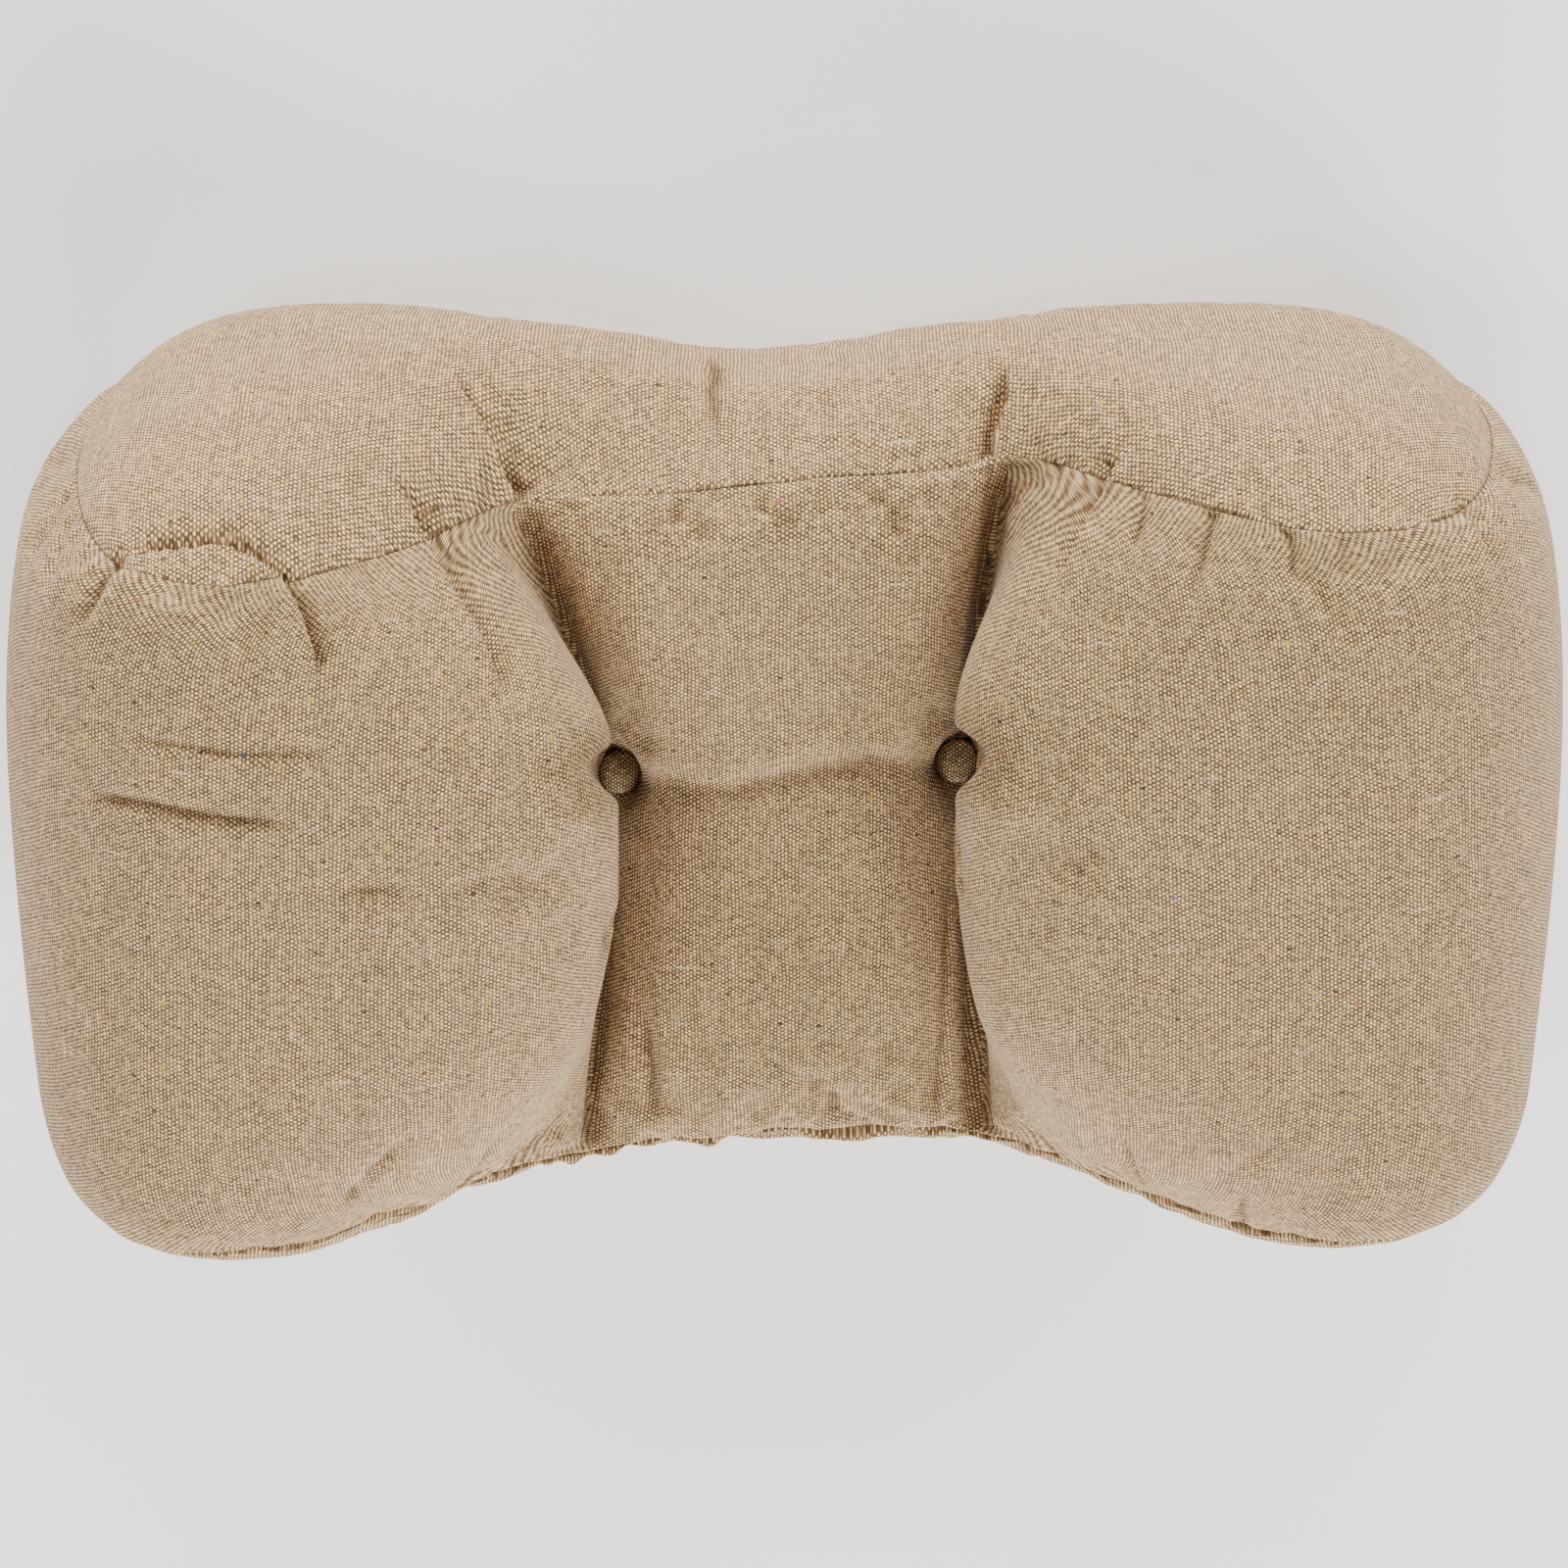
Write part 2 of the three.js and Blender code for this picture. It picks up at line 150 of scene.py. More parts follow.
def alongHeight(values, t):
    # B-spline through a row of section values, t from -1 to 1, with reflected ends so that they are met
    row = np.asarray(values, float)
    row = np.concatenate([[2 * row[0] - row[1]], row, [2 * row[-1] - row[-2]]])
    place = (t + 1) / 2 * (len(values) - 1)
    first = np.clip(np.floor(place).astype(int), 0, len(values) - 2)
    return sum(w * row[first + k] for k, w in enumerate(splineWeights(place - first)))


def sidePoints(values, side, sign, t):
    # control points (x, z) of one side, from the middle of the back round to the middle of the saddle
    shared = ("halfWidth", "saddle", "bluff", "crest", "roll")
    own = ("depth", "edge", "valley", "valleyFloor")
    width, saddle, bluff, crest, roll = (alongHeight(values[name], t) for name in shared)
    depth, edge, valley, floor = (alongHeight(values[side][name], t) for name in own)
    crestX = crest * width
    zero = 0.0 * t

    def slope(share, x, z):
        # plain slope from crest to valley, bent by bluff towards the steep wall's point (x, z)
        slopeX = crestX + (valley - crestX) * share
        slopeZ = depth + (floor - depth) * share**1.25 + 2 * (1 - share)
        return slopeX + (x - slopeX) * bluff, slopeZ + (z - slopeZ) * bluff

    points = [
        (zero, zero - 5),
        (0.25 * width, zero - 5),
        (0.50 * width, zero - 5),
        (0.74 * width, zero - 5),
        (0.93 * width, 0.06 * depth),
        (width, 0.25 * depth),
        (1.01 * width, 0.50 * depth),
        (0.985 * width, 0.75 * depth),
        (0.5 * (crestX + 1.04 * width), 0.965 * depth),
        (crestX, 1.02 * depth),
        slope(0.30, 0.4 * crestX + 0.6 * edge, 0.99 * depth),
        slope(0.55, edge, 0.86 * depth),
        slope(0.74, edge - 2, 0.55 * depth + 0.45 * floor),
        slope(0.88, 0.5 * (valley + edge), 0.22 * depth + 0.78 * floor),
        (valley, floor),
        (0.8 * valley, roll * floor + (1 - roll) * saddle),
        (0.45 * valley, 0.15 * roll * floor + (1 - 0.15 * roll) * saddle),
        (zero, saddle),
    ]
    grid = np.stack([np.stack(point, -1) for point in points], 1)
    grid[..., 0] *= sign
    return grid


def columnPlaces(values, grid):
    # places round the loop: back, right end, face, then the left side mirrored. They are spaced evenly by arc
    # length along the mean section of the face, and the back's places pair with them
    probe = np.linspace(tipPlace, middlePlace, 300)
    sections = loopPoints(sidePoints(values, "right", 1.0, np.linspace(-0.8, 0.8, 9)), probe[:-1])
    arc = np.concatenate([[0], np.cumsum(np.linalg.norm(np.diff(sections, axis=1), axis=-1).mean(0))])
    face = np.interp(np.linspace(0, arc[-1], grid["quarterColumns"] + 1), arc, probe[:-1])
    face[-1] = middlePlace
    back = np.interp(face[1:], facePlaces, backPlaces)[::-1]
    right = np.concatenate([back, face])
    return np.concatenate([right, loopCount - right[1:-1][::-1]])


def loopPoints(control, s):
    # B-spline round each level's closed control loop at places s
    first = np.floor(s).astype(int)
    weights = splineWeights((s - first)[None, :, None])
    return sum(w * control[:, (first + k - 1) % control.shape[1]] for k, w in enumerate(weights))


def easedTable(x, places, amounts, ease, period=None):
    # mean of nine straight-line lookups, evenly spaced from x - ease to x + ease
    return np.interp(x + np.linspace(-ease, ease, 9)[:, None], places, amounts, period=period).mean(0)


def bandSurface(values, t, s):
    # section point + puff * (1 - |t|^12) along the section's outward normal, at the seam heights' mix
    right = sidePoints(values, "right", 1.0, t)
    left = sidePoints(values, "left", -1.0, t)
    control = np.concatenate([right, left[:, ::-1][:, 1:-1]], 1)
    flat = loopPoints(control, s)
    ahead = loopPoints(control, (s + 0.1) % loopCount) - loopPoints(control, (s - 0.1) % loopCount)
    normal = np.stack([ahead[..., 1], -ahead[..., 0]], -1)
    normal /= np.linalg.norm(normal, axis=-1, keepdims=True)
    place = np.where(s > middlePlace, loopCount - s, s)
    puff = values["puff"]
    stuffed = [puff[name] for name in ("side", "side", "face", "face", "wall")]
    amounts = [0, 0, *stuffed, 0, puff["saddle"], puff["saddle"]]
    shoulder = 1 - np.abs(t) ** 12
    flat = flat + normal * (np.interp(place, puffPlaces, amounts)[None, :] * shoulder[:, None])[..., None]
    heights = []
    for seam, sag in ((values["bottomSeam"], values["bottomSag"]), (values["topSeam"], values["topSag"])):
        row = np.concatenate([sag["right"], sag["left"][-2:0:-1]])
        at = np.concatenate([values["sagPlaces"], loopCount - np.asarray(values["sagPlaces"])[-2:0:-1]])
        heights.append(seam - easedTable(s, at, row, values["sagEase"], loopCount))
    share = (t[:, None] + 1) / 2
    y = heights[0] * (1 - share) + heights[1] * share
    return np.stack([flat[..., 0], y, flat[..., 1]], -1)


def acrossPanel(grid):
    # index of the column that meets each column on the panel's middle line
    full = 4 * grid["quarterColumns"]
    i = np.arange(full)
    return np.where(i <= full // 2, full // 2 - i, (3 * full // 2 - i) % full)


def panelSurface(values, grid, r, rim, name, sign):
    # straight run from rim to middle line in plan; height rises by crown * (1 - (1 - r)^power)
    seam, crown, power = (values[name + end] for end in ("Seam", "Crown", "Power"))
    r = r[:, None]
    middleX = (rim[:, 0] + rim[acrossPanel(grid), 0]) / 2
    spineX = values["spineReach"] * np.tanh(middleX / values["spineSoftness"])
    lift = easedTable(spineX, values["crownPlaces"], crown, values["crownEase"])
    arch = 1 - (1 - r) ** power
    x = rim[:, 0] * (1 - r) + spineX * r
    y = rim[:, 1] + (seam - rim[:, 1]) * smoothStep(0, 1, r) + sign * lift * arch
    z = rim[:, 2] * (1 - r) + values["spineHeight"] * r
    return np.stack([x, y, z], -1)


def rowPlaces(grid):
    # one number a row: -2 at the bottom panel's middle line, -1 at its seam, 1 at the top seam and 2 at the
    # top panel's middle line; rows stand closer together towards the seams as crowding goes from 0 to 1
    crowding = grid["crowding"]
    even = np.linspace(-1, 1, grid["bandRows"] + 1)
    band = (1 - crowding) * even + crowding * np.sin(even * math.pi / 2)
    ring = (np.arange(1, grid["rings"] + 1) / grid["rings"]) ** (1 + 0.6 * crowding)
    return np.concatenate([-1 - ring[::-1], band, 1 + ring])


def cushionSkin(values, grid, rows):
    # rows of points: bottom panel's middle line, out to its seam, up the band, and in over the top panel
    rings = grid["rings"]
    band = bandSurface(values, rows[rings:-rings], columnPlaces(values, grid))
    below = panelSurface(values, grid, -1 - rows[:rings], band[0], "bottom", -1)
    above = panelSurface(values, grid, rows[-rings:] - 1, band[-1], "top", 1)
    return np.concatenate([below, band, above])


def skinNormals(points):
    # cross product of the steps along the rows and up the columns; the folded rows face straight out
    along = np.roll(points, -1, 1) - np.roll(points, 1, 1)
    normal = -np.cross(along, np.gradient(points, axis=0))
    normal /= np.linalg.norm(normal, axis=-1, keepdims=True) + 1e-12
    normal[0] = (0, -1, 0)
    normal[-1] = (0, 1, 0)
    return normal


# Folds of the cover, each along a path on the face. The cloth on the path's right stands proud by lip, leans
# over its left by lean and drops there within edge to depth below, from where it rises again over width; a
# fold without a lip is soft, with the same trough on both sides. fade is the share of the path over which a
# fold dies out at its start and its end, turned swaps the two sides, and bandOnly keeps a fold off the
# panels. shade is how dark the trough lies in its own shadow, over shadeWidth.
# shade and shadeWidth paint the trough's shadow into the cloth's colour through the crease mark
pucker = {"bandOnly": True, "fade": (0.01, 0.7)}
lowPleat = {"bandOnly": True, "fade": (0.01, 0.6)}
valleyEnd = {"width": 6.0, "lip": 1.2, "lean": 2.0, "lipWidth": 12.0, "edge": 1.4, "fade": (0.6, 0.05)}
foldValues = {
    "corner tuck": {"depth": 8.0, "width": 3.4, "lip": 1.3, "lean": 1.2, "lipWidth": 9.0, "edge": 1.6,
        "fade": (0.12, 0.1), "shade": 1.0, "shadeWidth": 1.6,
        "path": [(-163, 92, 128), (-160, 94, 127), (-152, 95, 128), (-140, 96, 127), (-132, 94, 129),
                 (-127, 90, 131), (-123, 85, 133), (-120, 80, 136), (-118, 74, 138), (-117, 66, 140)]},
    "left corner": {"depth": 2.8, "width": 2.2, "fade": (0.1, 0.5),
        "path": [(-166, 96, 125), (-168, 91, 129), (-172, 82, 130), (-175, 73, 128)]},
    "left pleat": {"depth": 12.0, "width": 5.0, "lip": 1.5, "lean": 1.6, "lipWidth": 9.0, "edge": 1.4,
        "fade": (0.02, 0.35), "shade": 1.0, "shadeWidth": 4.0,
        "path": [(-94, 95, 104), (-92, 87, 105), (-86, 79, 112), (-81, 71, 115), (-76, 63, 119),
                 (-73, 53, 123)]},
    "right pleat": {"depth": 6.5, "width": 3.0, "lip": 1.2, "lean": 1.4, "lipWidth": 7.0, "edge": 1.1,
        "fade": (0.02, 0.45), "turned": True, "shade": 0.9, "shadeWidth": 2.5,
        "path": [(85, 105, 92), (82, 101, 94), (78, 92, 98), (75, 82, 100), (72, 74, 101)]},
    "right pucker": {"depth": 1.6, "width": 2.0, **pucker,
        "path": [(91, 104, 100), (90, 95, 105), (88, 82, 109), (87, 74, 111)]},
    "middle pucker": {"depth": 2.8, "width": 2.4, **pucker,
        "path": [(108, 105, 112), (106, 97, 115), (104, 89, 119), (101, 74, 122)]},
    "outer pucker": {"depth": 2.6, "width": 2.2, **pucker,
        "path": [(126, 105, 119), (126, 95, 126), (125, 78, 130)]},
    "far pucker": {"depth": 1.5, "width": 2.0, **pucker,
        "path": [(141, 105, 123), (139, 94, 129), (138, 84, 131)]},
    "right corner": {"depth": 5.0, "width": 2.6, "lip": 1.0, "lean": 1.2, "lipWidth": 6.0, "edge": 0.9,
        "fade": (0.02, 0.5), "shade": 0.8, "shadeWidth": 2.0,
        "path": [(168, 104, 114), (171, 99, 116), (174, 94, 118), (178, 86, 117)]},
    "left valley end": {"depth": 6.5, **valleyEnd,
        "path": [(-91, 116, 58), (-84, 112, 68), (-78, 107, 75), (-73, 99, 77), (-70, 90, 80)]},
    "right valley end": {"depth": 6.0, **valleyEnd, "turned": True,
        "path": [(60, 115, 48), (58, 111, 61), (57, 103, 66), (56, 94, 68)]},
    "top notch": {"depth": 3.4, "width": 2.4, "fade": (0.3, 0.5),
        "path": [(-20, 106, 14), (-19, 110, 30), (-19, 109, 46), (-19, 103, 58), (-19, 98, 68)]},
    "upper wrinkle": {"depth": 2.0, "width": 2.2, "lip": 0.4, "lean": 0.5, "edge": 0.8,
        "fade": (0.2, 0.3),
        "path": [(-169, 50, 139), (-158, 49, 143), (-148, 49, 144), (-137, 47, 144), (-125, 45, 143),
                 (-112, 46, 140)]},
    "middle wrinkle": {"depth": 2.0, "width": 2.6, "fade": (0.2, 0.35),
        "path": [(-181, 31, 134), (-162, 32, 142), (-144, 30, 144), (-119, 26, 143)]},
    "lower wrinkle": {"depth": 1.4, "width": 3.4, "fade": (0.4, 0.5),
        "path": [(-121, 5, 144), (-105, 7, 141), (-90, 7, 138)]},
    "saddle groove": {"depth": 3.6, "width": 16.0, "power": 1.3, "lip": 0.35, "lipWidth": 14.0,
        "edge": 7.0, "fade": (0.0, 0.0),
        "path": [(43, 7, 60), (23, 11, 71), (10, 8, 72), (-4, 4, 72), (-15, 2, 71), (-24, 1, 70),
                 (-33, 2, 69), (-43, 5, 62)]},
    "left saddle fold": {"depth": 1.5, "width": 4.0, "fade": (0.4, 0.05),
        "path": [(-45, -55, 62), (-41, -86, 73), (-38, -107, 77)]},
    "right saddle fold": {"depth": 2.2, "width": 2.6, "fade": (0.4, 0.05),
        "path": [(46, -25, 53), (47, -62, 62), (47, -95, 70), (47, -108, 74)]},
    "lower left pleat": {"depth": 1.7, "width": 2.6, **lowPleat,
        "path": [(-120, -97, 133), (-112, -84, 136), (-103, -74, 136), (-94, -64, 136)]},
    "inner left pleat": {"depth": 1.6, "width": 2.4, **lowPleat,
        "path": [(-91, -110, 101), (-81, -91, 114), (-72, -73, 121)]},
    "valley left pleat": {"depth": 1.6, "width": 2.4, **lowPleat,
        "path": [(-79, -113, 90), (-69, -104, 87), (-62, -97, 79)]},
    "lower right pleat": {"depth": 3.0, "width": 2.2, "lip": 0.7, "lean": 0.8, "lipWidth": 6.0,
        "edge": 0.8, "bandOnly": True, "fade": (0.01, 0.6),
        "path": [(107, -108, 111), (99, -96, 117), (93, -84, 122), (87, -70, 125)]},
    "inner right pleat": {"depth": 1.6, "width": 1.8, **lowPleat,
        "path": [(99, -107, 107), (93, -91, 117), (86, -78, 119)]},
    "lower right pucker": {"depth": 2.2, "width": 2.0, **lowPleat,
        "path": [(128, -114, 117), (125, -97, 129), (123, -90, 131)]},
    "faint saddle fold": {"depth": 0.9, "width": 3.0, "fade": (0.4, 0.05),
        "path": [(29, -76, 75), (30, -107, 76)]},
}


def nearestOnSkin(points, place):
    # the vertex that lies closest to a place
    flat = points.reshape(-1, 3)
    return flat[np.argmin(((flat - np.asarray(place, float)) ** 2).sum(-1))]


def foldShift(points, normal, fold, onBand, shade):
    # d is the distance to the path within the skin, above 0 on its right. A soft fold moves the skin by
    # -depth * exp(-(d/width)^2); a sharp one by lip * exp(-(d/lipWidth)^2) on the right of the path and by
    # -depth * exp(-|d/width|^power) on its left, with a smooth change between them over twice edge, and the
    # proud cloth also moves by lean * exp(-(d/lipWidth)^2) across the path. shade is filled in as it goes
    path = np.array([nearestOnSkin(points, place) for place in fold["path"]])
    runs = np.linalg.norm(np.diff(path, axis=0), axis=-1)
    done, whole = np.concatenate([[0], np.cumsum(runs)]), runs.sum()
    nearest = np.full(points.shape[:2], 1e9)
    signed, progress = np.zeros(points.shape[:2]), np.zeros(points.shape[:2])
    aside = np.zeros(points.shape)
    for start, end, before, length in zip(path[:-1], path[1:], done, runs):
        run = (end - start) / max(length, 1e-6)
        along = np.clip((points - start) @ run, 0, length)
        offset = points - (start + along[..., None] * run)
        far = np.linalg.norm(offset, axis=-1)
        flat = offset - normal * (offset * normal).sum(-1, keepdims=True)
        rightward = np.cross(run, normal)
        side = (flat * rightward).sum(-1)
        nearer = far < nearest
        nearest = np.where(nearer, far, nearest)
        signed = np.where(nearer, np.where(side >= 0, 1, -1) * np.linalg.norm(flat, axis=-1), signed)
        progress = np.where(nearer, (before + along) / whole, progress)
        aside = np.where(nearer[..., None], rightward, aside)
    if fold.get("turned"):
        signed, aside = -signed, -aside
    first, last = (max(share, 0.001) for share in fold["fade"])
    strength = smoothStep(-0.02, first, progress) * (1 - smoothStep(1 - last, 1.02, progress))
    reach = 3 * fold["width"]
    strength = strength * (1 - smoothStep(max(12, reach), max(24, 1.6 * reach), nearest))
    if fold.get("bandOnly"):
        strength = strength * onBand
    if "lip" not in fold:
        return normal * (-fold["depth"] * np.exp(-((signed / fold["width"]) ** 2)) * strength)[..., None]
    proud = np.exp(-((signed / fold.get("lipWidth", 2 * fold["width"])) ** 2))
    trough = -fold["depth"] * np.exp(-(np.abs(signed / fold["width"]) ** fold.get("power", 1.0)))
    share = smoothStep(-fold["edge"], fold["edge"], signed)
    up = (fold["lip"] * proud * share + trough * (1 - share)) * strength
    # painted shadow: how dark each trough is drawn, passed on to the crease mark and the cloth's colour
    dark = fold.get("shade", 0.0) * np.exp(-np.abs(signed) / fold.get("shadeWidth", 1.0))
    np.maximum(shade, dark * (1 - share) * strength, out=shade)
    return normal * up[..., None] - aside * (fold.get("lean", 0.0) * proud * share * strength)[..., None]


# Seams: how deep they lie, how the cloth swells beside them, and how the gathered cloth puckers
seamValues = {
    "depth": {"top": 0.5, "bottom": 1.3},
    "width": 0.6,
    "swell": {"top": 0.1, "bottom": 0.6},
    "swellReach": 3.0,
    "puckers": 46,
    "seed": 11,
    "puckerDepth": {"top": 0.5, "bottom": 1.0},
    "puckerLength": (7.0, 22.0),
    "puckerWidth": (1.6, 3.6),
    "wave": {"top": 0.1, "bottom": 0.3},
    "waves": ((31, 0.2), (47, 0.7), (73, 0.45)),
}


def seamDistances(points, grid):
    # distance from each seam measured along the columns, above 0 on the panel's side, and the run along it
    rings, last = grid["rings"], grid["rings"] + grid["bandRows"]
    rise = np.linalg.norm(np.diff(points, axis=0), axis=-1)
    climb = np.concatenate([np.zeros((1, points.shape[1])), np.cumsum(rise, 0)])
    fromBottom, fromTop = climb[rings] - climb, climb - climb[last]
    step = np.linalg.norm(np.roll(points, -1, 1) - points, axis=-1)
    runs = [np.concatenate([[0], np.cumsum(step[row])[:-1]]) for row in (rings, last)]
    lengths = [step[row].sum() for row in (rings, last)]
    return (fromBottom, fromTop), runs, lengths


def seamShift(points, grid, values):
    # V-shaped crease -depth * exp(-|d|/width), a swell of (swell + wave * mean sine) * x * exp(1 - x) with
    # x = |d| / reach beside it, where waves are how many sines go round the seam and where each starts, and
    # puckers -depth * exp(-(run/width)^2) * exp(-|d|/length) at places drawn from a fixed seed
    distances, runs, lengths = seamDistances(points, grid)
    random = np.random.default_rng(values["seed"])
    shift = np.zeros(points.shape[:2])
    for name, distance, run, length in zip(("bottom", "top"), distances, runs, lengths):
        far = np.abs(distance)
        near = far / values["swellReach"]
        turns = [run / length * count + phase for count, phase in values["waves"]]
        wave = sum(np.sin(2 * math.pi * turn) for turn in turns) / len(turns)
        swell = values["swell"][name] + values["wave"][name] * wave
        shift -= values["depth"][name] * np.exp(-far / values["width"])
        shift += swell * near * np.exp(1 - near)
        for pucker in range(values["puckers"]):
            middle, side = random.uniform(0, length), random.choice((-1, 1))
            width, reach = random.uniform(*values["puckerWidth"]), random.uniform(*values["puckerLength"])
            deep, lean = random.uniform(0.3, 1.0) * values["puckerDepth"][name], random.uniform(-0.35, 0.35)
            apart = (run - middle + length / 2) % length - length / 2
            trough = np.exp(-(((apart - lean * far) / (width * (1 + far / 14))) ** 2) - far / reach)
            shift -= deep * trough * (distance * side > 0)
    return shift


# Buttons: their seats on the face, the pinch that they pull into the filling, and the dimples behind
buttonValues = {
    "right": (48.0, -2.5, 50.0),
    "left": (-47.0, -6.0, 50.0),
    "radius": 6.4,
    "thickness": 3.8,
    "backOut": (1.0, 0.985, 0.93, 0.8, 0.4, 0.0),
    "backUp": (0.16, 0.08, 0.02, 0.0, 0.0, 0.0),
    "turns": 48,
    "rings": 20,
    "tilt": 9.0,
    "wellTilt": 28.0,
    "pinchReach": 21.0,
    "pinchPull": 0.55,
    "footSink": 0.4,
    "sinkReach": 4.0,
    "sinkHeight": 6.0,
    "freeRim": 0.4,
    "flare": -0.045,
    "flareHeight": 60.0,
    "footRange": (-2.5, 0.6),
    "dentReach": 1.5,
    "soft": 1.2,
    "shadeReach": 15.0,
    "mouthReach": 7.0,
    "mouthShade": 0.6,
    "dimpleRadius": 24.0,
    "dimpleDepth": 5.0,
    "dimpleReachUp": 20.0,
}


def pinchAt(points, seat, values):
    # every point moves towards the seat by pull * exp(-(d/reach)^2) of its distance d
    toSeat = np.asarray(seat) - points
    distance = np.linalg.norm(toSeat, axis=-1, keepdims=True)
    return points + toSeat * values["pinchPull"] * np.exp(-((distance / values["pinchReach"]) ** 2))


def clearButton(points, seat, values, outward):
    # h is the height over the button's foot along the well's axis, and a and b run across it, a along X. Near
    # it heights sink to the foot. Above the foot the lobe's wall keeps a at or above
    # free * (1 - (b / (reach * free))^2) - 0.7 * soft, where free is the radius and a rim, plus flare * h.
    # The saddle's cloth keeps as far off on the other side. outward is 1 or -1 there by column, and 0 in the
    # valley. The larger of two values is taken as their mean + sqrt(half gap^2 + soft^2)
    tilt = math.radians(values["wellTilt"])
    axis = np.array([0.0, math.sin(tilt), math.cos(tilt)])
    crosswise = np.array([0.0, math.cos(tilt), -math.sin(tilt)])
    offset = points - np.asarray(seat)
    h, a, b = offset @ axis, offset[..., 0], offset @ crosswise
    rho = np.hypot(a, b)
    sink = 1 - smoothStep(values["radius"] - 1, values["radius"] + values["sinkReach"], rho)
    sink = sink * np.exp(-((h / values["sinkHeight"]) ** 2))
    h = h * (1 - sink) - values["footSink"] * sink
    free = values["radius"] + values["freeRim"] + values["flare"] * np.clip(h, 0, values["flareHeight"])
    least = free * (1 - (b / (values["dentReach"] * free)) ** 2) - 0.7 * values["soft"]
    way = np.sign(outward)
    clear = (way * a + least) / 2 + np.sqrt(((way * a - least) / 2) ** 2 + values["soft"] ** 2)
    push = (clear - way * a) * np.abs(outward) * smoothStep(*values["footRange"], h)
    a = a + way * push
    alongX = np.array([1.0, 0.0, 0.0])
    return np.asarray(seat) + a[..., None] * alongX + b[..., None] * crosswise + h[..., None] * axis


def outwardColumns(side, places):
    # for each column 1 towards +X and -1 towards -X, away from the button's middle, and 0 at the valley
    right = np.clip((valleyPlace - places) / valleyEase, -1, 1)
    left = np.clip((valleyPlace - (loopCount - places)) / valleyEase, -1, 1)
    return right if side == "right" else -left


def restOnSurface(points, ease):
    # heights under -ease become 0, and a parabola joins them to the free shape at +ease
    z = points[..., 2]
    points[..., 2] = np.where(z <= -ease, 0.0, np.where(z < ease, (z + ease) ** 2 / (4 * ease), z))
    return points


def dimpleBehind(points, seat, values):
    # the back rises by depth * (1 - (d/radius)^2)^2 round each tufting point
    aside = np.hypot(points[..., 0] - seat[0], points[..., 1] - seat[1]) / values["dimpleRadius"]
    rise = values["dimpleDepth"] * np.clip(1 - aside**2, 0, 1) ** 2
    points[..., 2] += np.where(points[..., 2] < values["dimpleReachUp"], rise, 0.0)
    return points


def quadsAround(index):
    # quads between the rows of a grid of vertex numbers whose columns close in a ring
    right = np.roll(index, -1, 1)
    return np.stack([index[:-1], index[1:], right[1:], right[:-1]], -1).reshape(-1, 4)


def skinFaces(rowCount, grid):
    # the first and last rows are folded shut by giving paired columns one vertex
    columns = 4 * grid["quarterColumns"]
    index = np.arange(rowCount * columns).reshape(rowCount, columns)
    mate = np.minimum(np.arange(columns), acrossPanel(grid))
    index[0], index[-1] = index[0, mate], index[-1, mate]
    return quadsAround(index)


def meshFromQuads(name, points, quads, uv=None, marks=None):
    # keeps only the vertices in use, in metres, and a quad with a repeated corner becomes a triangle. uv is
    # the place in the weave's map of each corner of each quad, and marks are named values of the vertices
    kept = quads != np.roll(quads, -1, 1)
    used, corners = np.unique(quads[kept], return_inverse=True)
    sides = kept.sum(1)
    mesh = bpy.data.meshes.new(name)
    mesh.vertices.add(len(used))
    mesh.vertices.foreach_set("co", (points.reshape(-1, 3)[used] * mm).ravel())
    mesh.loops.add(len(corners))
    mesh.loops.foreach_set("vertex_index", corners)
    mesh.polygons.add(len(quads))
    mesh.polygons.foreach_set("loop_start", np.cumsum(sides) - sides)
    mesh.polygons.foreach_set("use_smooth", np.ones(len(quads), bool))
    mesh.update(calc_edges=True)
    if uv is not None:
        layer = mesh.uv_layers.new(name="weaveMap")
        layer.data.foreach_set("uv", (uv[kept] * mm).ravel())
    for label, amount in (marks or {}).items():
        mark = mesh.attributes.new(label, "FLOAT", "POINT")
        mark.data.foreach_set("value", np.ascontiguousarray(amount.reshape(-1)[used], dtype=np.float32))
    mesh.validate()
    return addObject(name, mesh)


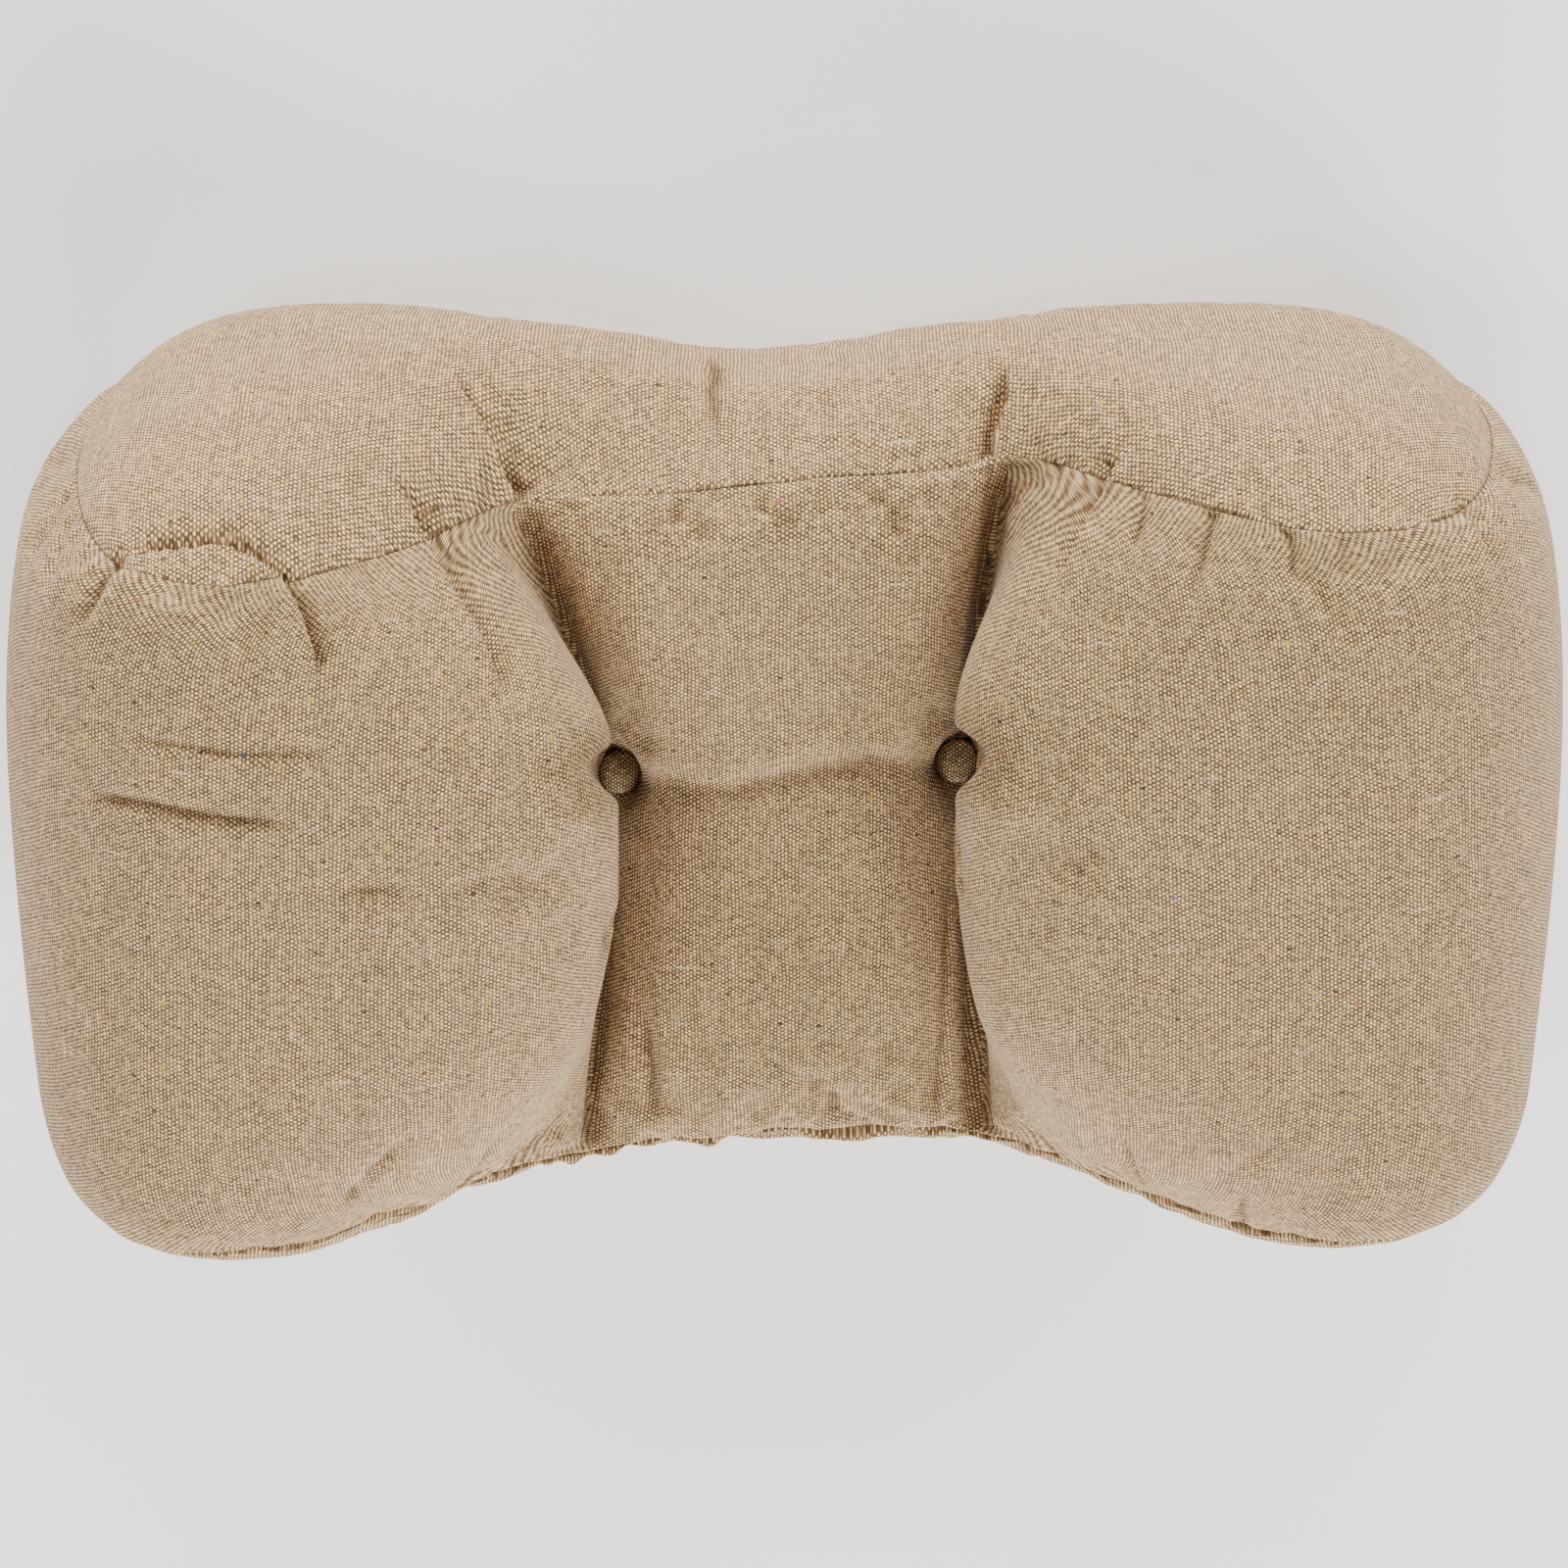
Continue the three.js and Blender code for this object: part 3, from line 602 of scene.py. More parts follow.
def weaveMap(points, moved, grid, places):
    # u runs round the band as arc length from each end's widest line and from the middle of the saddle, and v
    # runs up it as arc length from mid-height. On the panels the map is radial from the middle line. Where
    # the shape moved within the skin, the map moves along, so that the yarns keep their pitch
    quarter = grid["quarterColumns"]
    rings, rows, columns = grid["rings"], grid["bandRows"], 4 * quarter
    step = np.linalg.norm(np.roll(points, -1, 1) - points, axis=-1)
    arc = np.concatenate([np.zeros((len(points), 1)), np.cumsum(step, 1)], 1)
    rise = np.linalg.norm(np.diff(points, axis=0), axis=-1)
    climb = np.concatenate([np.zeros((1, columns)), np.cumsum(rise, 0)])
    around, up = np.roll(points, -1, 1) - np.roll(points, 1, 1), np.gradient(points, axis=0)
    around /= np.linalg.norm(around, axis=-1, keepdims=True) + 1e-9
    up /= np.linalg.norm(up, axis=-1, keepdims=True) + 1e-9
    shared, byRound, byUp = (around * up).sum(-1), (moved * around).sum(-1), (moved * up).sum(-1)
    square = np.maximum(1 - shared**2, 0.3)
    slideRound, slideUp = (byRound - shared * byUp) / square, (byUp - shared * byRound) / square
    slideRound = np.concatenate([slideRound, slideRound[:, :1]], 1)
    v = climb - climb[rings + rows // 2] + slideUp
    face = np.argmin(np.abs(places[quarter : 2 * quarter + 1] - valleyPlace))
    rightTip, rightValley, centre = quarter, quarter + face, 2 * quarter
    leftValley, leftTip = 3 * quarter - face, 3 * quarter
    uLeft, uRight = np.zeros((len(points), columns)), np.zeros((len(points), columns))
    for first, last, anchor, base in (
        (0, rightValley, rightTip, mapPlaces["tip"]),
        (rightValley, leftValley, centre, 0.0),
        (leftValley, columns, leftTip, -mapPlaces["tip"]),
    ):
        span = arc[:, first : last + 1] - arc[:, anchor : anchor + 1]
        u = base - span - slideRound[:, first : last + 1]
        uLeft[:, first:last] = u[:, :-1]
        uRight[:, first:last] = u[:, 1:]
    uv = np.zeros((len(points) - 1, columns, 4, 2))
    left, right = np.stack([uLeft, v], -1), np.stack([uRight, np.roll(v, -1, 1)], -1)
    for corner, side in enumerate((left[:-1], left[1:], right[1:], right[:-1])):
        uv[:, :, corner] = side
    for firstRow, lastRow, spineRow in ((0, rings, 0), (rings + rows, 2 * rings + rows, 2 * rings + rows)):
        spine = points[spineRow]
        rim = points[rings if spineRow == 0 else rings + rows]
        ray = (rim - spine)[:, (0, 2)]
        ray /= np.linalg.norm(ray, axis=-1, keepdims=True)
        reach = np.abs(climb[firstRow : lastRow + 1] - climb[spineRow])
        flat = spine[:, (0, 2)] + ray * reach[..., None] + moved[firstRow : lastRow + 1][..., (0, 2)]
        flat[..., 1] += mapPlaces["panels"]
        right = np.roll(flat, -1, 1)
        for corner, side in enumerate((flat[:-1], flat[1:], right[1:], right[:-1])):
            uv[firstRow:lastRow, :, corner] = side
    return uv.reshape(-1, 4, 2)


# The cover's cloth is inflated by a short simulation, and what wrinkles it makes are laid over the shape
puffValues = {
    "inset": 1.5,
    "pressure": 4.0,
    "frames": 20,
    "quality": 6,
    "tension": 12.0,
    "compression": 10.0,
    "shear": 4.0,
    "bending": 0.25,
    "mass": 0.25,
    "spare": 0.035,
    "heldNear": 9.0,
    "cap": 3.5,
    "evenPasses": 30,
    "seamReach": 9.0,
    "seamPasses": 50,
    "calmX": (26.0, 42.0),
    "calmY": (30.0, 70.0),
    "calmAbove": 30.0,
    "calmShare": 0.9,
    "buttonCalm": (12.0, 34.0),
    "topShare": 0.4,
}


def evenOut(field, passes):
    # each pass takes a quarter, a half and a quarter of neighbours along both directions of the grid
    for _ in range(passes):
        field = (np.roll(field, 1, 1) + 2 * field + np.roll(field, -1, 1)) / 4
        above = np.concatenate([field[1:], field[-1:]])
        below = np.concatenate([field[:1], field[:-1]])
        field = (above + 2 * field + below) / 4
    return field


def cubicRows(field, places, wraps):
    # Catmull-Rom curve through the rows of a field, read at fractional row places
    first = np.floor(places).astype(int)
    f = (places - first).reshape(-1, *([1] * (field.ndim - 1)))
    weights = (
        -f / 2 + f**2 - f**3 / 2,
        1 - 2.5 * f**2 + 1.5 * f**3,
        f / 2 + 2 * f**2 - 1.5 * f**3,
        -(f**2) / 2 + f**3 / 2,
    )
    last = len(field)
    picks = [(first + k - 1) % last if wraps else np.clip(first + k - 1, 0, last - 1) for k in range(4)]
    return sum(w * field[pick] for w, pick in zip(weights, picks))


def inflateCover(points, grid, values, seats):
    # pressure from inside on cloth that is cut a little too large and held along the seams, at the buttons
    # and where it rests; returns how far each point of the grid moved, at most cap
    quads = skinFaces(len(points), grid)
    used = np.unique(quads)
    start = points - skinNormals(points) * values["inset"]
    piece = meshFromQuads("trialCover", start, quads)
    flat = points.reshape(-1, 3)[used]
    held = flat[:, 2] < 1.0
    for side in ("right", "left"):
        held |= np.linalg.norm(flat - np.asarray(seats[side]), axis=-1) < values["heldNear"]
    rings, last = grid["rings"], grid["rings"] + grid["bandRows"]
    row = used // points.shape[1]
    for label, chosen in (("held", held), ("seams", (row == rings) | (row == last))):
        piece.vertex_groups.new(name=label).add(np.flatnonzero(chosen).tolist(), 1.0, "REPLACE")
    cloth = piece.modifiers.new("inflate", "CLOTH")
    settings = cloth.settings
    settings.quality = values["quality"]
    settings.mass = values["mass"]
    for name in ("tension", "compression", "shear", "bending"):
        setattr(settings, name + "_stiffness", values[name])
    settings.vertex_group_mass = "held"
    settings.use_pressure = True
    settings.uniform_pressure_force = values["pressure"]
    settings.vertex_group_shrink = "seams"
    settings.shrink_min = -values["spare"]
    settings.shrink_max = 0.0
    settings.effector_weights.gravity = 0.0
    scene = bpy.context.scene
    for step in range(1, values["frames"] + 1):
        scene.frame_set(step)
    shaped = piece.evaluated_get(bpy.context.evaluated_depsgraph_get()).data
    moved = np.zeros(len(used) * 3)
    shaped.vertices.foreach_get("co", moved)
    moved = moved.reshape(-1, 3) / mm - flat
    scene.frame_set(1)
    bpy.data.objects.remove(piece)
    length = np.linalg.norm(moved, axis=-1, keepdims=True)
    print(f"cover inflated: mean move {length.mean():.2f} mm, most {length.max():.2f} mm")
    moved *= np.minimum(1.0, values["cap"] / np.maximum(length, 1e-6))
    place = np.zeros(points.shape[0] * points.shape[1], int)
    place[used] = np.arange(len(used))
    index = np.arange(len(place)).reshape(points.shape[:2])
    mate = np.minimum(np.arange(points.shape[1]), acrossPanel(grid))
    index[0], index[-1] = index[0, mate], index[-1, mate]
    return moved[place[index]]


def coverWrinkles(values, puff, seats, fineRows, fineGrid):
    # the simulated move of a coarse cover less its own broad part, read at the fine grid's places
    grid = values["coarse"]
    rows = rowPlaces(grid)
    points = cushionSkin(values, grid, rows)
    for side in ("right", "left"):
        outward = outwardColumns(side, columnPlaces(values, grid))
        points = clearButton(pinchAt(points, seats[side], seats), seats[side], seats, outward)
    points = restOnSurface(points, values["restEase"])
    moved = inflateCover(points, grid, puff, seats)
    moved = moved - evenOut(moved, puff["evenPasses"])
    gaps = seamDistances(points, grid)[0]
    nearSeam = sum(np.exp(-((gap / puff["seamReach"]) ** 2)) for gap in gaps)[..., None]
    normal = skinNormals(points)
    height = (moved * normal).sum(-1)
    for _ in range(puff["seamPasses"]):
        height = (np.roll(height, 1, 1) + 2 * height + np.roll(height, -1, 1)) / 4
    moved = moved - normal * (height[..., None] * np.clip(nearSeam, 0, 1))
    rowAt = np.interp(fineRows, rows, np.arange(len(rows)))
    columnAt = np.arange(4 * fineGrid["quarterColumns"]) * grid["quarterColumns"] / fineGrid["quarterColumns"]
    fine = cubicRows(moved, rowAt, False)
    return cubicRows(fine.transpose(1, 0, 2), columnAt, True).transpose(1, 0, 2)


def creaseDepth(points, passes):
    # how far each point lies under the mean of its neighbourhood, 0 where it stands above it
    return np.clip(((evenOut(points, passes) - points) * skinNormals(points)).sum(-1), 0, None)


def wellShade(points, seat, values):
    # painted shade round each button's well: exp(-((d - radius) / reach)^2) beyond the button's radius, and 1
    # within it; the lobe's edge over the button has the same at share mouthShade, with the distance across
    # the well's axis and mouthReach
    tilt = math.radians(values["wellTilt"])
    offset = points - np.asarray(seat)
    height = offset @ np.array([0.0, math.sin(tilt), math.cos(tilt)])
    across = np.sqrt(np.clip((offset**2).sum(-1) - height**2, 0, None))
    away = np.linalg.norm(offset, axis=-1)
    near, over = (
        np.exp(-((np.clip(far - values["radius"], 0, None) / values[reach]) ** 2))
        for far, reach in ((away, "shadeReach"), (across, "mouthReach"))
    )
    return np.maximum(near, over * values["mouthShade"] * (height > 0))


def wrinkleShare(points, rows, seats, puff):
    # how much of the wrinkles shows: all on the lobes, less on the saddle, by the buttons, on the top panel
    x, y, z = points[..., 0], points[..., 1], points[..., 2]
    calm = (1 - smoothStep(*puff["calmX"], np.abs(x))) * (1 - smoothStep(*puff["calmY"], np.abs(y)))
    share = 1 - puff["calmShare"] * (calm * (z > puff["calmAbove"]))
    for side in ("right", "left"):
        share *= smoothStep(*puff["buttonCalm"], np.linalg.norm(points - np.asarray(seats[side]), axis=-1))
    return (share * np.where(rows[:, None] > 1, puff["topShare"], 1.0))[..., None]


def makeCushion(values, folds, seams, seats, puff):
    # the skin with folds, seams and pinches, then wrinkles, the flat rest, the dimples, and the marks
    grid = values["fine"]
    rows = rowPlaces(grid)
    points = cushionSkin(values, grid, rows)
    normal = skinNormals(points)
    base = points
    onBand = smoothStep(0, values["bandEase"], -np.maximum(*seamDistances(points, grid)[0]))
    shade = np.zeros(points.shape[:2])
    points = points + sum(foldShift(points, normal, fold, onBand, shade) for fold in folds.values())
    points = points + normal * seamShift(base, grid, seams)[..., None]
    for side in ("right", "left"):
        outward = outwardColumns(side, columnPlaces(values, grid))
        points = clearButton(pinchAt(points, seats[side], seats), seats[side], seats, outward)
    share = wrinkleShare(points, rows, seats, puff)
    points = points + coverWrinkles(values, puff, seats, rows, grid) * share
    points = restOnSurface(points, values["restEase"])
    for side in ("right", "left"):
        points = dimpleBehind(points, seats[side], seats)
    quads = skinFaces(len(points), grid)
    (fromBottom, fromTop), runs, lengths = seamDistances(points, grid)
    nearTop = rows[:, None] > 0
    # wells and creases mask painted shade: the cloth is darkened round the buttons' wells and in fold troughs
    # and hollows, where shade falls
    wells = sum(wellShade(points, seats[side], seats) for side in ("right", "left"))
    creases = smoothStep(*values["creaseRange"], creaseDepth(points, values["creasePasses"]))
    marks = {
        "seamGap": np.where(nearTop, fromTop, fromBottom) * mm,
        "seamRun": np.where(nearTop, runs[1][None, :], runs[0][None, :]) * mm,
        "crease": np.maximum(creases, shade) * (1 - values["creaseCut"] * wells),
        "wellShade": wells,
    }
    weave = weaveMap(base, points - base, grid, columnPlaces(values, grid))
    return meshFromQuads("cushionCover", points, quads, weave, marks)


cushion = makeCushion(cushionValues, foldValues, seamValues, buttonValues, puffValues)
print("cushion cover made:", len(cushion.data.vertices), "vertices")


# Shader building blocks
def addNode(tree, kind, inputs=(), **settings):
    # inputs gives sockets, by name or number, a value or another node's output
    node = tree.nodes.new(kind)
    for name, value in settings.items():
        setattr(node, name, value)
    for name, value in dict(inputs).items():
        if isinstance(value, bpy.types.NodeSocket):
            tree.links.new(value, node.inputs[name])
        else:
            node.inputs[name].default_value = value
    return node


def mathNode(tree, operation, first, second=None, clamp=False):
    inputs = {0: first} if second is None else {0: first, 1: second}
    return addNode(tree, "ShaderNodeMath", inputs, operation=operation, use_clamp=clamp).outputs[0]


def arithmetic(tree, *operations):
    # a short function for each named math operation in one tree
    return [partial(mathNode, tree, operation) for operation in operations]


def mixColour(tree, factor, first, second, blend="MIX"):
    inputs = {0: factor, 6: first, 7: second}
    return addNode(tree, "ShaderNodeMix", inputs, data_type="RGBA", blend_type=blend).outputs[2]


def noiseAt(tree, vector, scale, detail=1.0):
    inputs = {"Vector": vector, "Scale": scale, "Detail": detail}
    return addNode(tree, "ShaderNodeTexNoise", inputs, noise_dimensions="2D")


def inMillimetres(tree, place):
    return addNode(tree, "ShaderNodeVectorMath", {0: place, "Scale": 1000.0}, operation="SCALE").outputs[0]


def splitColour(tree, colour):
    return addNode(tree, "ShaderNodeSeparateColor", {0: colour}).outputs


def markValue(tree, name):
    # a named value of the vertices
    return addNode(tree, "ShaderNodeAttribute", attribute_name=name).outputs["Fac"]


def colourRamp(tree, factor, stops):
    # stops are (position, colour) rows in rising order
    node = addNode(tree, "ShaderNodeValToRGB", {0: factor})
    elements = node.color_ramp.elements
    for element, (position, colour) in zip((elements[0], elements[-1]), (stops[0], stops[-1])):
        element.position, element.color = position, colour
    for position, colour in stops[1:-1]:
        elements.new(position).color = colour
    return node.outputs[0]


def newMaterial(name, inputs):
    material = bpy.data.materials.new(name)
    material.use_nodes = True
    shader = material.node_tree.nodes["Principled BSDF"]
    for socket, value in inputs.items():
        shader.inputs[socket].default_value = value
    return material, shader


def newGroup(name, inputs, outputs):
    # every group reads a Map; inputs are the defaults of its numbers, and outputs name its results
    group = bpy.data.node_groups.new(name, "ShaderNodeTree")
    group.interface.new_socket("Map", in_out="INPUT", socket_type="NodeSocketVector")
    for label, default in inputs.items():
        socket = group.interface.new_socket(label, in_out="INPUT", socket_type="NodeSocketFloat")
        socket.default_value = default
    for label in outputs:
        group.interface.new_socket(label, in_out="OUTPUT", socket_type="NodeSocketFloat")
    return group, group.nodes.new("NodeGroupInput"), group.nodes.new("NodeGroupOutput")


# Weave: sways are (scale, amount) of the noise that bends the yarns; pattern and relief are how much each
# sign of the weave counts; yarns are (own count, other count, seed, stretch) of each yarn's tone
weaveValues = {
    "sways": ((0.05, 3.0), (0.45, 0.55), (1.1, 0.35)),
    "fuzzScale": 2.3,
    "pattern": {"checker": 0.60, "warp": 0.34, "weft": 0.10, "chance": 0.55, "fuzz": 1.1},
    "relief": {"checker": 0.5, "warp": 0.3},
    "yarns": ((0, 1, 11.3, 0.035), (1, 0, 47.9, 0.05)),
    "yarnStep": 7.31,
    "overlap": 0.2,
    "slubStarts": (0.80, 0.78),
    "slubRise": 9.0,
}


def makeWeaveGroup(values):
    # plain weave over yarn counts a and b: a checker cos(pi a) * cos(pi b) stands where a warp yarn passes
    # over, and cos(2 pi a) marks the gaps between warp yarns. Noise bends the counts, so yarns run thick and
    # thin; each crossing has a random lightness, and each yarn a tone drawn out along it
    group, source, sink = newGroup(
        "plainWeave",
        {"Warp Pitch": 1.0, "Weft Pitch": 0.6, "Unevenness": 0.5},
        ("Pattern", "Height", "Yarn Tone", "Yarn Tint", "Slub"),
    )
    link = group.links.new
    add, subtract, multiply, divide = arithmetic(group, "ADD", "SUBTRACT", "MULTIPLY", "DIVIDE")
    place = inMillimetres(group, source.outputs["Map"])
    apart = addNode(group, "ShaderNodeSeparateXYZ", {0: place})
    sways = []
    for scale, amount in values["sways"]:
        drift = splitColour(group, noiseAt(group, place, scale).outputs["Color"])
        sways.append([multiply(subtract(drift[k], 0.5), amount) for k in (0, 1)])
    counts = []
    for axis, pitch in enumerate(("Warp Pitch", "Weft Pitch")):
        sway = add(add(sways[0][axis], sways[1][axis]), sways[2][axis])
        sway = multiply(sway, source.outputs["Unevenness"])
        counts.append(add(divide(apart.outputs[axis], source.outputs[pitch]), sway))
    half = [mathNode(group, "COSINE", multiply(count, math.pi)) for count in counts]
    warp, weft = (mathNode(group, "COSINE", multiply(count, 2 * math.pi)) for count in counts)
    checker = multiply(half[0], half[1])
    whole = [mathNode(group, "ROUND", count) for count in counts]
    crossing = addNode(group, "ShaderNodeCombineXYZ", {0: whole[0], 1: whole[1]}).outputs[0]
    chance = addNode(group, "ShaderNodeTexWhiteNoise", {"Vector": crossing}, noise_dimensions="2D").outputs[0]
    fuzz = noiseAt(group, place, values["fuzzScale"], 2.0).outputs[0]
    weights = values["pattern"]
    pattern = add(multiply(checker, weights["checker"]), multiply(warp, weights["warp"]))
    pattern = add(pattern, multiply(weft, weights["weft"]))
    pattern = add(pattern, multiply(subtract(chance, 0.5), weights["chance"]))
    pattern = add(pattern, multiply(subtract(fuzz, 0.5), weights["fuzz"]))
    relief = values["relief"]
    height = add(multiply(checker, relief["checker"]), multiply(warp, relief["warp"]))
    tones, tints = [], []
    for own, other, seed, stretch in values["yarns"]:
        across = add(multiply(whole[own], values["yarnStep"]), seed)
        onward = multiply(counts[other], stretch)
        spot = addNode(group, "ShaderNodeCombineXYZ", {0: across, 1: onward}).outputs[0]
        streak = noiseAt(group, spot, 1.0, 1.5)
        tones.append(streak.outputs[0])
        tints.append(splitColour(group, streak.outputs["Color"])[2])
    between = {"Value": checker, "From Min": -values["overlap"], "From Max": values["overlap"]}
    warpOver = addNode(group, "ShaderNodeMapRange", between).outputs[0]
    for yarn, label in ((tones, "Yarn Tone"), (tints, "Yarn Tint")):
        mixed = addNode(group, "ShaderNodeMix", {0: warpOver, 2: yarn[1], 3: yarn[0]}, data_type="FLOAT")
        link(mixed.outputs[0], sink.inputs[label])
    slub = mathNode(group, "MAXIMUM", *(subtract(*pair) for pair in zip(tones, values["slubStarts"])))
    link(pattern, sink.inputs["Pattern"])
    link(height, sink.inputs["Height"])
    link(multiply(slub, values["slubRise"], clamp=True), sink.inputs["Slub"])
    return group


def makeFleckGroup(values):
    # scattered seed and thread flecks: one point in each cell of a plane, kept where the cell's own random
    # number is high, and drawn as a small oval whose colour comes from the same random numbers
    inputs = {"Spacing": 12.0, "Size": 0.8, "Keep": 0.6}
    group, source, sink = newGroup("cottonFlecks", inputs, ("Mask", "Hue"))
    link = group.links.new
    add, subtract, multiply, divide = arithmetic(group, "ADD", "SUBTRACT", "MULTIPLY", "DIVIDE")
    flat = {0: inMillimetres(group, source.outputs["Map"]), 1: (1.0, values["oval"], 1.0)}
    stretched = addNode(group, "ShaderNodeVectorMath", flat, operation="MULTIPLY").outputs[0]
    net = {"Vector": stretched, "Scale": divide(1.0, source.outputs["Spacing"])}
    cells = addNode(group, "ShaderNodeTexVoronoi", net, voronoi_dimensions="2D")
    random = splitColour(group, cells.outputs["Color"])
    size = divide(source.outputs["Size"], source.outputs["Spacing"])
    reach = multiply(add(random[1], values["least"]), size)
    inside = subtract(values["edge"], divide(cells.outputs["Distance"], reach), clamp=True)
    kept = mathNode(group, "GREATER_THAN", random[0], source.outputs["Keep"])
    link(multiply(multiply(inside, values["rise"], clamp=True), kept), sink.inputs["Mask"])
    link(random[2], sink.inputs["Hue"])
    return group


weaveGroup = makeWeaveGroup(weaveValues)
fleckGroup = makeFleckGroup({"oval": 1.35, "least": 0.35, "edge": 1.3, "rise": 3.0})

# Canvas: flecks are (spacing, size, keep, two colours) of dark seeds, yellow seeds and coloured threads
canvasValues = {
    "stops": (
        (0.10, (0.042, 0.022, 0.010, 1.0)),
        (0.33, (0.155, 0.095, 0.047, 1.0)),
        (0.50, (0.320, 0.200, 0.093, 1.0)),
        (0.66, (0.590, 0.385, 0.180, 1.0)),
        (0.86, (0.950, 0.730, 0.410, 1.0)),
    ),
    "slub": (0.95, 0.78, 0.52, 1.0),
    "slubShare": 0.5,
    "tints": (
        (0.30, (1.04, 1.0, 0.86, 1.0)),
        (0.42, (1.0, 1.0, 1.0, 1.0)),
        (0.58, (1.0, 0.99, 0.98, 1.0)),
        (0.70, (1.0, 0.96, 1.02, 1.0)),
    ),
    "toneRange": (0.25, 0.75),
    "tone": (0.84, 1.16),
    "flecks": (
        (15.0, 0.50, 0.50, (0.03, 0.018, 0.01, 1.0), (0.09, 0.05, 0.02, 1.0)),
        (31.0, 0.70, 0.45, (0.52, 0.36, 0.05, 1.0), (0.50, 0.34, 0.08, 1.0)),
        (57.0, 0.65, 0.55, (0.10, 0.12, 0.24, 1.0), (0.42, 0.10, 0.08, 1.0)),
    ),
    "fleckShift": (0.13, 0.07),
    "fleckChoice": 0.55,
    "fleckShare": 0.85,
    # creaseShade is the colour that the painted shade of creases and wells multiplies in
    "creaseShade": (0.36, 0.28, 0.22, 1.0),
    "warpPitch": 1.01,
    "weftPitch": 0.60,
    "roughness": 0.92,
    "sheen": 0.08,
    "specular": 0.18,
    "bump": 0.00016,
}


def seamLine(tree, values):
    # 1 on the thin line where two cloths meet and in the needle holes beside it: the line is as wide as half,
    # and a hole stands wherever cos(2 pi run / pitch) is near 1
    subtract, multiply, divide = arithmetic(tree, "SUBTRACT", "MULTIPLY", "DIVIDE")
    away = mathNode(tree, "ABSOLUTE", multiply(markValue(tree, "seamGap"), 1000.0))
    line = subtract(1.5, divide(away, values["half"]), clamp=True)
    turn = multiply(markValue(tree, "seamRun"), 2000.0 * math.pi / values["pitch"])
    beat = multiply(mathNode(tree, "COSINE", turn), 5.0)
    beside = subtract(1.5, divide(away, values["holeReach"]), clamp=True)
    holes = multiply(subtract(beat, 3.6, clamp=True), beside)
    return mathNode(tree, "MAXIMUM", line, holes)


def makeCanvas(name, values, seam=None):
    # ground and yarn colours by the weave's pattern, then the yarns' tones and tints, slubs, flecks, the
    # painted shade of creases and wells, and the line of the seams
    surface = {"Roughness": values["roughness"], "Sheen Weight": values["sheen"]}
    material, shader = newMaterial(name, {**surface, "Specular IOR Level": values["specular"]})
    tree = material.node_tree
    link = tree.links.new
    add, multiply, greater = arithmetic(tree, "ADD", "MULTIPLY", "GREATER_THAN")
    place = addNode(tree, "ShaderNodeUVMap", uv_map="weaveMap").outputs[0]
    inputs = {"Map": place, "Warp Pitch": values["warpPitch"], "Weft Pitch": values["weftPitch"]}
    weave = addNode(tree, "ShaderNodeGroup", inputs, node_tree=weaveGroup).outputs
    ground = colourRamp(tree, multiply(add(weave["Pattern"], 1.0), 0.5), values["stops"])
    names = ("From Min", "From Max", "To Min", "To Max")
    inputs = {"Value": weave["Yarn Tone"], **dict(zip(names, values["toneRange"] + values["tone"]))}
    tone = addNode(tree, "ShaderNodeMapRange", inputs).outputs[0]
    shade = addNode(tree, "ShaderNodeCombineColor", {0: tone, 1: tone, 2: tone}).outputs[0]
    cloth = mixColour(tree, 1.0, ground, shade, "MULTIPLY")
    cloth = mixColour(tree, 1.0, cloth, colourRamp(tree, weave["Yarn Tint"], values["tints"]), "MULTIPLY")
    cloth = mixColour(tree, multiply(weave["Slub"], values["slubShare"]), cloth, values["slub"])
    for spacing, size, keep, *colours in values["flecks"]:
        shift = (*(spacing * share for share in values["fleckShift"]), 0.0)
        moved = addNode(tree, "ShaderNodeVectorMath", {0: place, 1: shift}, operation="ADD").outputs[0]
        inputs = {"Map": moved, "Spacing": spacing, "Size": size, "Keep": keep}
        fleck = addNode(tree, "ShaderNodeGroup", inputs, node_tree=fleckGroup).outputs
        hue = mixColour(tree, greater(fleck["Hue"], values["fleckChoice"]), *colours)
        cloth = mixColour(tree, multiply(fleck["Mask"], values["fleckShare"]), cloth, hue)
    if seam:
        # painted shade: the crease and wellShade marks darken the cloth towards creaseShade
        for mark in ("crease", "wellShade"):
            depth = multiply(markValue(tree, mark), seam[mark])
            cloth = mixColour(tree, depth, cloth, values["creaseShade"], "MULTIPLY")
        cloth = mixColour(tree, multiply(seamLine(tree, seam), seam["share"]), cloth, seam["colour"])
    link(cloth, shader.inputs["Base Color"])
    inputs = {"Height": weave["Height"], "Distance": values["bump"], "Strength": 1.0}
    link(addNode(tree, "ShaderNodeBump", inputs).outputs[0], shader.inputs["Normal"])
    return material


# the seam's line and needle holes, and how strongly the crease and wellShade marks paint shade into the cloth
seamLineAndShadeValues = {
    "half": 0.2,
    "pitch": 2.6,
    "holeReach": 0.5,
    "share": 0.85,
    "colour": (0.06, 0.035, 0.018, 1.0),
    "crease": 0.8,
    "wellShade": 0.78,
}
canvas = makeCanvas("naturalCanvas", canvasValues, seamLineAndShadeValues)
cushion.data.materials.append(canvas)
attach(cushion, "root")
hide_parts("cushion")
print("canvas laid on the cushion")


